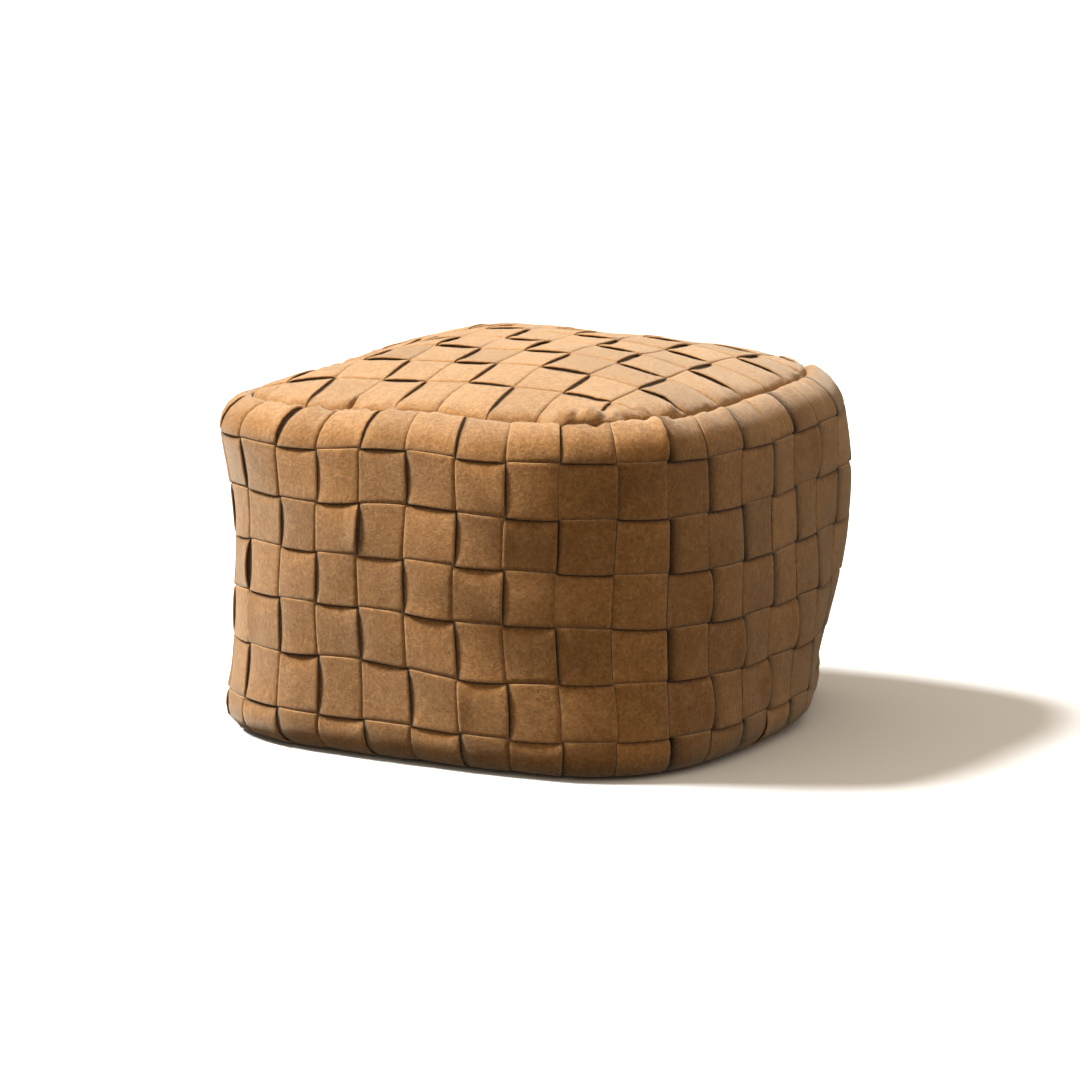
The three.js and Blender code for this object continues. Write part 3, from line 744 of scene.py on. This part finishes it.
def suede(name, deep, mid, light, woven=True):
    """Brushed suede: mottled nap, short fibres, pale raw edges, painted light where the cover faces up, and
    painted shade from the tone attribute.
    """
    material, shader = node_material(name, mid, 0.94, sheen=SUEDE_SHEEN)
    shader.inputs["Sheen Roughness"].default_value = SUEDE_SHEEN_ROUGH
    shader.inputs["Sheen Tint"].default_value = SUEDE_SHEEN_TINT
    shader.inputs["Specular IOR Level"].default_value = SUEDE_SPECULAR
    n = Nodes(material)
    clouds = n.noise(14, 3, 0.55)
    patches = n.noise(75, 6, 0.75)
    nap = n.noise(300, 5, 0.85)
    fibres = n.noise(1300, 3, 0.8)
    color = n.mix(n.spread(clouds, 0.3, 0.7), deep, mid)
    color = n.mix(n.spread(patches, 0.45, 0.80, 0, 0.45), color, light)
    grain = n.math("ADD", n.spread(nap, 0.35, 0.65, 0.72, 1.28), n.spread(fibres, 0.25, 0.75, -0.16, 0.16))
    if woven:
        # painted light: the colour turns paler where the cover faces up
        color = n.mix(n.spread(n.facing_up(), 0.5, 1.0, 0, PAINTED_TOP_LIGHT_SHARE), color, PAINTED_TOP_LIGHT)
        # the tone attribute darkens the colour by each strap's own tone and by the painted shade at strap
        # tucks
        tone = n.math("ADD", n.attribute("tone"), 1.0)
        grain = n.math("MULTIPLY", grain, tone)
        color = n.mix(n.math("MULTIPLY", n.attribute("edge"), 0.55), color, light)
    n.link(n.brightness(color, grain), shader.inputs["Base Color"])
    soft = n.bump(patches, 1.5 * MM, 0.5)
    napped = n.bump(nap, 1.3 * MM, 0.8, soft)
    n.link(n.bump(fibres, 0.4 * MM, 0.7, napped), shader.inputs["Normal"])
    n.link(n.spread(nap, 0.3, 0.7, 0.88, 1.0), shader.inputs["Roughness"])
    return material


def cloth(name, color, scale, depth, stripe=None):
    """A plain woven cloth of crossing threads."""
    material, shader = node_material(name, color, 0.92, sheen=0.1)
    n = Nodes(material)
    warp, weft = n.wave(scale, "X"), n.wave(scale, "Y")
    rise = n.wave(scale, "Z")
    threads = n.math("ADD", n.math("MULTIPLY", warp, weft), rise)
    slub = n.noise(240, 4, 0.6)
    shade = n.math("ADD", n.spread(threads, 0, 2, 0.82, 1.08), n.spread(slub, 0.3, 0.7, -0.10, 0.10))
    base = color
    if stripe:
        lines = n.spread(n.wave(7, "X"), 0.80, 0.86)
        base = n.mix(lines, color, stripe)
    n.link(n.brightness(base, shade), shader.inputs["Base Color"])
    n.link(n.bump(threads, depth, 0.7, n.bump(slub, depth, 0.5)), shader.inputs["Normal"])
    return material


def fleece(name, color):
    material, shader = node_material(name, color, 0.97, sheen=0.3)
    n = Nodes(material)
    tufts, hairs = n.noise(60, 6, 0.7), n.noise(700, 3, 0.7)
    n.link(n.brightness(color, n.spread(tufts, 0.3, 0.7, 0.8, 1.05)), shader.inputs["Base Color"])
    n.link(n.bump(hairs, 0.6 * MM, 0.7, n.bump(tufts, 6 * MM, 0.8)), shader.inputs["Normal"])
    return material


def nylon(name, color):
    material, shader = node_material(name, color, 0.42)
    n = Nodes(material)
    streaks = n.noise(900, 3, 0.6)
    n.link(n.brightness(color, n.spread(streaks, 0.3, 0.7, 0.85, 1.15)), shader.inputs["Base Color"])
    n.link(n.bump(streaks, 0.05 * MM, 0.4), shader.inputs["Normal"])
    return material


def old_brass(name, color, dark):
    """Antiqued brass: darker in patches, with fine scratches."""
    material, shader = node_material(name, color, 0.34, metallic=1.0)
    n = Nodes(material)
    patina, scratches = n.noise(260, 5, 0.65), n.noise(900, 2, 0.5, stretch=(0.15, 3.0, 1.0))
    n.link(n.mix(n.spread(patina, 0.40, 0.68), color, dark), shader.inputs["Base Color"])
    scratched = n.spread(scratches, 0.3, 0.7, -0.04, 0.06)
    n.link(n.math("ADD", n.spread(patina, 0.35, 0.7, 0.26, 0.48), scratched), shader.inputs["Roughness"])
    n.link(n.bump(scratches, 0.02 * MM, 0.5), shader.inputs["Normal"])
    return material


def thread(name, color):
    """Waxed sewing thread with a visible twist."""
    material, shader = node_material(name, color, 0.55, sheen=0.15)
    n = Nodes(material)
    twist = n.wave(420, "DIAGONAL", 1.0)
    n.link(n.brightness(color, n.spread(twist, 0, 1, 0.75, 1.1)), shader.inputs["Base Color"])
    n.link(n.bump(twist, 0.12 * MM, 0.8), shader.inputs["Normal"])
    return material


MATERIALS = {
    "strap_suede": suede("strap_suede", (0.275, 0.127, 0.038), (0.365, 0.176, 0.058),
                         (0.55, 0.318, 0.138)),
    "underside_suede": suede("underside_suede", (0.22, 0.11, 0.045), (0.29, 0.15, 0.066),
                             (0.36, 0.20, 0.095), False),
    "lining_canvas": cloth("lining_canvas", (0.060, 0.032, 0.014), 190, 0.3 * MM),
    "bag_ticking": cloth("bag_ticking", (0.72, 0.67, 0.56), 260, 0.2 * MM, (0.25, 0.22, 0.20)),
    "filling": fleece("filling_fibre", (0.86, 0.84, 0.79)),
    "zip_cloth": cloth("zip_cloth", (0.10, 0.052, 0.024), 420, 0.15 * MM),
    "zip_coil": nylon("zip_nylon", (0.085, 0.045, 0.022)),
    "zip_brass": old_brass("zip_brass", (0.56, 0.38, 0.16), (0.20, 0.12, 0.05)),
}
THREAD = thread("sewing_thread", (0.50, 0.33, 0.17))

# ---- camera
VIEW_TURN = math.radians(29.5)
VIEW_RISE = math.radians(10.4)
VIEW_DISTANCE = 4.242
VIEW_LENS = 155.2
VIEW_SENSOR = 36
VIEW_AT = 0.455  # share of the height that the camera looks at
VIEW_FAR = 60
target = Vector((0, 0, VIEW_AT * (CAD_LOW.z + CAD_HIGH.z)))
back = Vector((math.sin(VIEW_TURN) * math.cos(VIEW_RISE),
               -math.cos(VIEW_TURN) * math.cos(VIEW_RISE),
               math.sin(VIEW_RISE)))
camera = new_object("camera", bpy.data.cameras.new("camera"))
camera.data.lens = VIEW_LENS
camera.data.sensor_width = VIEW_SENSOR
camera.data.clip_end = VIEW_FAR
camera.location = target + back * VIEW_DISTANCE
camera.rotation_mode = "QUATERNION"
camera.rotation_quaternion = (-back).to_track_quat("-Z", "Y")
bpy.context.scene.camera = camera

# ---- the weave
for column in range(COLUMNS):
    node = f"{SIDES[column // PER_SIDE]}_upright_straps"
    keep_piece(f"upright_{column + 1:02d}", upright(column), "strap_suede", node)
for row in range(ROWS):
    keep_piece(f"hoop_{row + 1}", hoop(row), "strap_suede", f"hoop_strap_{row + 1}")
for number in range(PER_SIDE):
    for lengthwise in (True, False):
        kind = "lengthwise" if lengthwise else "crosswise"
        keep_piece(f"top_{kind}_{number + 1}", top_strap_mesh(number, lengthwise), "strap_suede",
                   f"top_{kind}_strap_{number + 1}")

# ---- gather at the front corner
EAR_FIRST = 34.55  # the gathered roll of the seam runs between these columns
EAR_LAST = 36.40
EAR_HIGH = 9.5 * MM
EAR_IN = 13 * MM  # from this far in on the top
EAR_ROW = 0.20  # to this row of the side
EAR_ACROSS = 13


def corner_ear(name, first, last, high, inset, low_row):
    """A roll of the gathered corner, lying over the top seam and caught in it at both ends."""
    share = np.linspace(0, 1, 33)
    t = np.linspace(0, 1, EAR_ACROSS)[None, :]
    column = (first + (last - first) * share)[:, None]
    plan = on_outline(SEAM_OUTLINE, column[:, 0]) * (TOP_R - inset)
    upper = top_surface(plan[:, 0], plan[:, 1])[:, None]
    lower = side_surface(column, np.full(column.shape, low_row))
    swell = np.sin(math.pi * share)[:, None] ** 0.6
    wrinkle = 1 + 0.22 * np.sin(share * 23)[:, None] + 0.10 * np.sin(share[:, None] * 41 + 9 * t)
    roll = (high * swell * wrinkle) * np.sin(math.pi * t) ** 0.55
    away = unit(np.concatenate([unit(plan), np.full((len(plan), 1), 1.6)], 1))
    ends = (1 - swell) * -5 * MM
    points = upper * (1 - t[..., None]) + lower * t[..., None] + away[:, None] * (roll + ends)[..., None]
    along = np.gradient(points, axis=0)
    sideways = np.gradient(points, axis=1)
    normals = unit(np.cross(sideways, along))
    facing = np.sign((normals * away[:, None]).sum(-1).mean())
    tone = -0.10 + 0.08 * np.sin(17 * share)[:, None] + 0 * roll
    mesh = ribbon(name, points, normals * facing, 0 * roll, tone, flip=facing < 0)
    keep_piece(name, mesh, "strap_suede")


corner_ear("corner_gather", EAR_FIRST, EAR_LAST, EAR_HIGH, EAR_IN, EAR_ROW)

# ---- linings and tapes
def layer(name, points, normals, rise, thick, closed=False, flip=False):
    """An even sheet that lies a little under the weave."""
    size = points.shape[:2]
    return ribbon(name, points, normals, np.full(size, rise), np.zeros(size), closed, thick, flip)


CANVAS = 0.9 * MM
TAPE_ROOM = 3.8 * MM  # the bottom tape lies this far under the weave's middle
HEADING_ROOM = 3.4 * MM
round_places = np.linspace(0, COLUMNS, 5 * COLUMNS + 1)[:-1]


def side_ring(name, rows, rise, node):
    """A length of canvas round the inside of the side band."""
    columns = round_places[:, None] + 0 * rows
    points, normals = side_frame(columns, rows + 0 * columns)
    mesh = layer(name, points, normals, rise, CANVAS, closed=True, flip=True)
    ring = keep_piece(name, mesh, "lining_canvas", node)


LINING_ROWS = np.array([0.42, 0.7, 1.0, 1.4, 2, 2.75, 3.5, 4.25, 5, 5.6, 6.0, 6.3, 6.58])
side_ring("side_lining_cloth", LINING_ROWS, -SIDE_ROOM, "side_lining")
TAPE_ROWS = np.array([6.62, 6.70, 6.78, 6.86, 6.93, 6.97])
side_ring("bottom_seam_tape_cloth", TAPE_ROWS, -TAPE_ROOM, "bottom_seam_tape")

TOP_LINING_INSET = 14 * MM
spread = np.linspace(-1, 1, 41)
s_grid, t_grid = np.meshgrid(spread, spread, indexing="ij")
square = np.maximum(abs(s_grid), abs(t_grid))
pull_in = square / np.maximum(reach_of(s_grid, t_grid), 1e-9) * (TOP_R - TOP_LINING_INSET)
points, normals = top_frame(s_grid * pull_in, t_grid * pull_in)
mesh = layer("top_lining_cloth", points, normals, -SIDE_ROOM, CANVAS)
top_canvas = keep_piece("top_lining_cloth", mesh, "lining_canvas", "top_lining")

HEADING_ROWS = -np.array([3.0, 5.0, 7.0, 9.0]) * MM / SEAM_RUN
for index, side in enumerate(SIDES):
    places = np.linspace(PER_SIDE * index + 0.06, PER_SIDE * (index + 1) - 0.06, 46)
    columns = places[:, None] + 0 * HEADING_ROWS
    points, normals = side_frame(columns, HEADING_ROWS + 0 * columns)
    name = f"{side}_heading_tape"
    mesh = layer(name, points, normals, -HEADING_ROOM, CANVAS, flip=True)
    keep_piece(name, mesh, "strap_suede", f"{side}_upright_straps")

# ---- underside
PANEL = 1.8 * MM
PANEL_Z = 1.05 * MM  # middle of its suede, just clear of the floor
LOW_EDGE = LOW_R - SEAM_GAP
PANEL_RISE = 6.4 * MM  # the rim climbs this far into the bottom seam
CHANNEL = 7.5 * MM  # half width of the channel over the zip
CLOSED_CHANNEL = 0.95 * MM
CHANNEL_END = 205 * MM
HEM_HIGH = 6.4 * MM
# The hem's section: mm in from its fold, and the share of its height.
HEM_STEPS = [(0, 1.0), (0, 0.7), (0, 0.38), (0.25, 0.14), (0.9, 0.03), (2.2, 0)]


def calm_lumps(p):
    """Lumps that die away towards the zip, which stays straight."""
    return p + (lumps(p) - p) * smooth((abs(p[..., 1:2]) - 10 * MM) / (50 * MM))


def under_surface(x, y):
    """Middle of the underside.  Points past the seam climb inside as the seam allowance."""
    r = np.maximum(reach_of(x, y), 1e-9)
    keep = np.minimum(1, LOW_EDGE / r)
    gap = np.maximum(0, LOW_EDGE - r)
    climb = PANEL_RISE * seam_dive(gap) / SEAM_DEPTH
    z = PANEL_Z + climb + np.maximum(0, r - LOW_EDGE)
    return calm_lumps(np.stack([x * keep, y * keep, z], -1))


def under_frame(x, y):
    return frame_of(under_surface, x, y, FLAT_STEP, -1)


def channel_half(x):
    closing = smooth((abs(x) - CHANNEL_END) / (10 * MM))
    return CHANNEL + (CLOSED_CHANNEL - CHANNEL) * closing


def underside(side, sign):
    """One half of the underside, hemmed beside the zip."""
    whole = LOW_EDGE + ALLOWANCE
    t = np.linspace(-1, 1, 111)
    x = 0.9985 * whole * np.sign(t) * (1 - (1 - abs(t)) ** 2.6)
    inner = channel_half(x)
    outer = outline_reach(x, whole)
    hem = np.array(HEM_STEPS)
    flat = 1 - (1 - np.linspace(0, 1, 34)) ** 2.4
    start = inner + hem[-1, 0] * MM
    ys = np.concatenate([inner[:, None] + hem[None, :-1, 0] * MM,
                         start[:, None] + (outer - start)[:, None] * flat[None, :]], 1)
    lift = np.concatenate([hem[:-1, 1], np.zeros(len(flat))]) * HEM_HIGH
    xs = x[:, None] + 0 * ys
    points, normals = under_frame(xs, sign * ys)
    points = points + np.array([0, 0, 1.0]) * lift[None, :, None]
    upright_share = smooth(lift / (0.5 * HEM_HIGH))[None, :, None]
    normals = unit(normals * (1 - upright_share) + np.array([0, -sign, 0]) * upright_share)
    name = f"underside_{side}_panel"
    mesh = layer(name, points, normals, 0, PANEL, flip=sign > 0)
    panel = keep_piece(name, mesh, "underside_suede", f"underside_{side}")


underside("front", -1)
underside("rear", 1)

# ---- stitches beside the zip
STITCH_LONG = 2.6 * MM
STITCH_STEP = 3.4 * MM
STITCH_WIRE = 0.32 * MM
STITCH_RING = 6
STITCH_LINES = (10.2 * MM, 13.0 * MM)


def tube(path, radius, ring):
    """Points and quads of a tube along a path of points."""
    ahead = unit(np.gradient(path, axis=0))
    side_way = unit(np.cross(ahead, np.array([0.13, 0.21, 1.0])))
    up_way = np.cross(side_way, ahead)
    turn = 2 * math.pi * np.arange(ring) / ring
    around = np.cos(turn)[None, :, None] * side_way[:, None] + np.sin(turn)[None, :, None] * up_way[:, None]
    points = path[:, None] + around * radius
    return points.reshape(-1, 3), band_quads(len(path), ring, False)


def joined(parts):
    """One array of points and one of quads from many."""
    offset, all_points, all_quads = 0, [], []
    for points, quads in parts:
        all_points.append(points)
        all_quads.append(quads + offset)
        offset += len(points)
    return np.concatenate(all_points), np.concatenate(all_quads)


def stitch_row(name, y):
    parts = []
    for x in np.arange(-200 * MM, 200 * MM, STITCH_STEP):
        along = x + STITCH_LONG * np.array([0, 0.15, 0.5, 0.85, 1])
        sink = np.array([0.5, -0.02, -0.10, -0.02, 0.5]) * MM
        ends = under_surface(along, np.full(5, y)) - np.array([0, 0, PANEL / 2])
        ends[:, 2] = np.maximum(ends[:, 2] + sink, STITCH_WIRE)
        parts.append(tube(ends, STITCH_WIRE, STITCH_RING))
    points, quads = joined(parts)
    keep_piece(name, mesh_of(name, points, quads), "zip_cloth", material=THREAD)


for number, line in enumerate(STITCH_LINES):
    for side, sign in (("front", -1), ("rear", 1)):
        stitch_row(f"zip_stitches_{side}_{number + 1}", sign * line)

# ---- zip
tape_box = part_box("zip_tape_rear")
coil_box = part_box("zip_coil_rear")
COIL_WIRE = 0.30 * MM
COIL_PITCH = 1.6 * MM
COIL_RING = 6
TURN_STEPS = 9


def zip_tape(side, sign):
    xs = np.linspace(tape_box[0].x, tape_box[1].x, 60)
    ys = sign * np.linspace(tape_box[0].y, tape_box[1].y, 9)
    grid_x, grid_y = np.meshgrid(xs, ys, indexing="ij")
    middle = (tape_box[0].z + tape_box[1].z) / 2
    wave_z = 0.05 * MM * np.sin(grid_x * 90) * smooth((abs(grid_y) - 8 * MM) / (6 * MM))
    points = np.stack([grid_x, grid_y, middle + wave_z], -1)
    normals = np.broadcast_to(np.array([0, 0, 1.0]), points.shape)
    name = f"zip_tape_{side}_cloth"
    thick = 0.9 * (tape_box[1].z - tape_box[0].z)
    mesh = layer(name, points, normals, 0, thick, flip=sign < 0)
    tape = keep_piece(name, mesh, "zip_cloth", f"zip_tape_{side}")


def zip_coil(side, sign):
    half_y = (coil_box[1].y - coil_box[0].y) / 2 - COIL_WIRE
    half_z = (coil_box[1].z - coil_box[0].z) / 2 - COIL_WIRE
    mid_y = sign * (coil_box[0].y + coil_box[1].y) / 2
    mid_z = (coil_box[0].z + coil_box[1].z) / 2
    low_x, high_x = coil_box[0].x + COIL_WIRE, coil_box[1].x - COIL_WIRE
    turns = int((high_x - low_x) / COIL_PITCH)
    angle = 2 * math.pi * np.arange(turns * TURN_STEPS + 1) / TURN_STEPS
    share = np.linspace(0, 1, len(angle))
    path = np.stack([low_x + (high_x - low_x) * share, mid_y + sign * half_y * np.cos(angle),
                     mid_z + half_z * np.sin(angle)], -1)
    points, quads = tube(path, COIL_WIRE, COIL_RING)
    name = f"zip_coil_{side}_helix"
    keep_piece(name, mesh_of(name, points, quads), "zip_coil", f"zip_coil_{side}")


for side, sign in (("front", -1), ("rear", 1)):
    zip_tape(side, sign)
    zip_coil(side, sign)


def cad_form(node):
    """The mesh of a CAD node, in the shared frame, with its doubled points merged."""
    source = bpy.data.objects[node]
    form = bmesh.new()
    form.from_mesh(source.data)
    form.transform(source.matrix_world)
    bmesh.ops.remove_doubles(form, verts=form.verts, dist=0.01 * MM)
    return form


def rounded_copy(node, body, round_by):
    """A copy of a metal CAD part with its edges rounded."""
    form = cad_form(node)
    bmesh.ops.dissolve_limit(form, angle_limit=math.radians(4), verts=form.verts, edges=form.edges)
    sharp = [e for e in form.edges if len(e.link_faces) == 2 and e.calc_face_angle() > math.radians(40)]
    bmesh.ops.bevel(form, geom=sharp, offset=round_by, segments=2, profile=0.6, affect="EDGES",
                    clamp_overlap=True)
    name = f"{node}_metal"
    mesh = bpy.data.meshes.new(name)
    form.to_mesh(mesh)
    form.free()
    mesh.polygons.foreach_set("use_smooth", np.ones(len(mesh.polygons), bool))
    mesh.set_sharp_from_angle(angle=math.radians(35))
    keep_piece(name, mesh, "zip_brass", node, body=body)


for node, body, round_by in (("zip_closed_end_stop", "pouf", 0.25), ("zip_open_end_stop", "pouf", 0.25),
                             ("zip_slider", "zip_slider", 0.18), ("zip_pull", "zip_pull", 0.16)):
    rounded_copy(node, body, round_by * MM)

# ---- inner bag and filling
BAG_VOXEL = 9 * MM
BAG_PRESSURE = 4.0
BAG_FRAMES = 20
BAG_CAP = 4.5 * MM  # no point of the bag swells further than this
BAG_CLOTH = {"quality": 5, "mass": 0.3, "use_pressure": True, "uniform_pressure_force": BAG_PRESSURE,
             "tension_stiffness": 15, "compression_stiffness": 15, "bending_stiffness": 0.5}
FILLING_ROOM = 2.0 * MM  # the filling lies at least this far inside its CAD shape
TUFT_DEEP = 4.0 * MM
TUFT_RUN = (61.0, 23.0, 47.0)  # how the tufts run, in radians a metre
TUFT_SWIRL = (19.0, 71.0, -37.0)


def outer_shell(node):
    """The outermost shell of a CAD node."""
    form = cad_form(node)
    highest = max(form.verts, key=lambda v: v.co.z)
    found, todo = {highest}, [highest]
    while todo:
        here = todo.pop()
        for edge in here.link_edges:
            other = edge.other_vert(here)
            if other not in found:
                found.add(other)
                todo.append(other)
    bmesh.ops.delete(form, geom=[v for v in form.verts if v not in found], context="VERTS")
    return form


def stuffed(node, name):
    """A soft copy of the outside of a CAD node, with even faces."""
    form = outer_shell(node)
    mesh = bpy.data.meshes.new(name)
    form.to_mesh(mesh)
    form.free()
    obj = new_object(name, mesh)
    remesh = obj.modifiers.new("even", "REMESH")
    remesh.mode = "VOXEL"
    remesh.voxel_size = BAG_VOXEL
    remesh.use_smooth_shade = True
    return obj


def applied(obj):
    """The object's mesh with its modifiers applied."""
    graph = bpy.context.evaluated_depsgraph_get()
    mesh = bpy.data.meshes.new_from_object(obj.evaluated_get(graph))
    obj.modifiers.clear()
    obj.data = mesh
    return mesh


def positions(mesh):
    flat = np.zeros(3 * len(mesh.vertices), np.float32)
    mesh.vertices.foreach_get("co", flat)
    return flat.reshape(-1, 3).astype(float)


def put_positions(mesh, points):
    mesh.vertices.foreach_set("co", points.astype(np.float32).ravel())
    mesh.update()


def finish_soft(obj, mesh, slot, node):
    mesh.materials.clear()
    mesh.materials.append(MATERIALS[slot])
    mesh.polygons.foreach_set("use_smooth", np.ones(len(mesh.polygons), bool))
    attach(obj, "pouf")
    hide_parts(node)


bag = stuffed("inner_bag_ticking", "inner_bag_cloth")
mesh = applied(bag)
rest = positions(mesh)
settled = lumps(rest)
put_positions(mesh, settled)
swelling = bag.modifiers.new("swell", "CLOTH")
for key, value in BAG_CLOTH.items():
    setattr(swelling.settings, key, value)
swelling.settings.effector_weights.gravity = 0
swelling.point_cache.frame_start = 1
swelling.point_cache.frame_end = BAG_FRAMES
for number in range(1, BAG_FRAMES + 1):
    bpy.context.scene.frame_set(number)
mesh = applied(bag)
bpy.context.scene.frame_set(1)
moved = positions(mesh) - settled
size = np.linalg.norm(moved, axis=1)
moved *= (np.minimum(size, BAG_CAP) / np.maximum(size, 1e-9))[:, None]
put_positions(mesh, settled + moved)
finer = bag.modifiers.new("finer", "SUBSURF")
finer.levels = 1
mesh = applied(bag)
finish_soft(bag, mesh, "bag_ticking", "inner_bag_ticking")

filling = stuffed("inner_bag_filling", "inner_bag_fibre")
mesh = applied(filling)
rest = positions(mesh)
inward = unit(np.array([0, 0, rest[:, 2].mean()]) - rest)
swirl = 2 * np.sin(rest @ np.array(TUFT_SWIRL))
tufts = 0.5 + 0.5 * np.sin(rest @ np.array(TUFT_RUN) + swirl)
put_positions(mesh, lumps(rest) + inward * (FILLING_ROOM + TUFT_DEEP * tufts)[:, None])
finish_soft(filling, mesh, "filling", "inner_bag_filling")

# ---- floor and light
FLOOR_REACH = 40.0
FLOOR_COLOR = (0.78, 0.78, 0.775)
SUN_ENERGY = 8.1
SUN_ANGLE = math.radians(15)
SUN_HEADING = (0.61, 0.20, -0.765)
SKY_COLOR = (1.0, 0.85, 0.68, 1)
SKY_FROM = -0.6  # the sky is dark below this height of its direction
SKY_STRENGTH = 0.95  # straight up
WHITE = (1, 1, 1, 1)


def plain_floor():
    mesh = bpy.data.meshes.new("floor")
    corners = [(-1, -1), (1, -1), (1, 1), (-1, 1)]
    mesh.from_pydata([(FLOOR_REACH * x, FLOOR_REACH * y, 0) for x, y in corners], [], [(0, 1, 2, 3)])
    floor = new_object("floor", mesh)
    material, shader = node_material("floor_pale", FLOOR_COLOR, 0.9)
    shader.inputs["Specular IOR Level"].default_value = 0.1
    mesh.materials.append(material)
    floor.visible_diffuse = False


plain_floor()
sun = bpy.data.lights.new("key", "SUN")
sun.energy = SUN_ENERGY
sun.angle = SUN_ANGLE
key = new_object("key", sun)
key.rotation_mode = "QUATERNION"
key.rotation_quaternion = Vector(SUN_HEADING).to_track_quat("-Z", "Y")

world = bpy.data.worlds.new("studio")
bpy.context.scene.world = world
world.use_nodes = True
sky = Nodes(world)
glow = sky.spread(sky.upward(sky.coords.outputs["Generated"]), SKY_FROM, 1.0, 0.0, SKY_STRENGTH)
ground = sky.tree.nodes["Background"]
ground.inputs["Color"].default_value = SKY_COLOR
sky.link(glow, ground.inputs["Strength"])
seen = sky.add("Background", {"Color": WHITE})
camera_ray = sky.add("LightPath", {}).outputs["Is Camera Ray"]
choose = sky.add("MixShader", {"Fac": camera_ray, 1: ground.outputs["Background"],
                               2: seen.outputs["Background"]})
sky.link(choose.outputs["Shader"], sky.tree.nodes["World Output"].inputs["Surface"])
bpy.context.scene.view_settings.view_transform = "Standard"
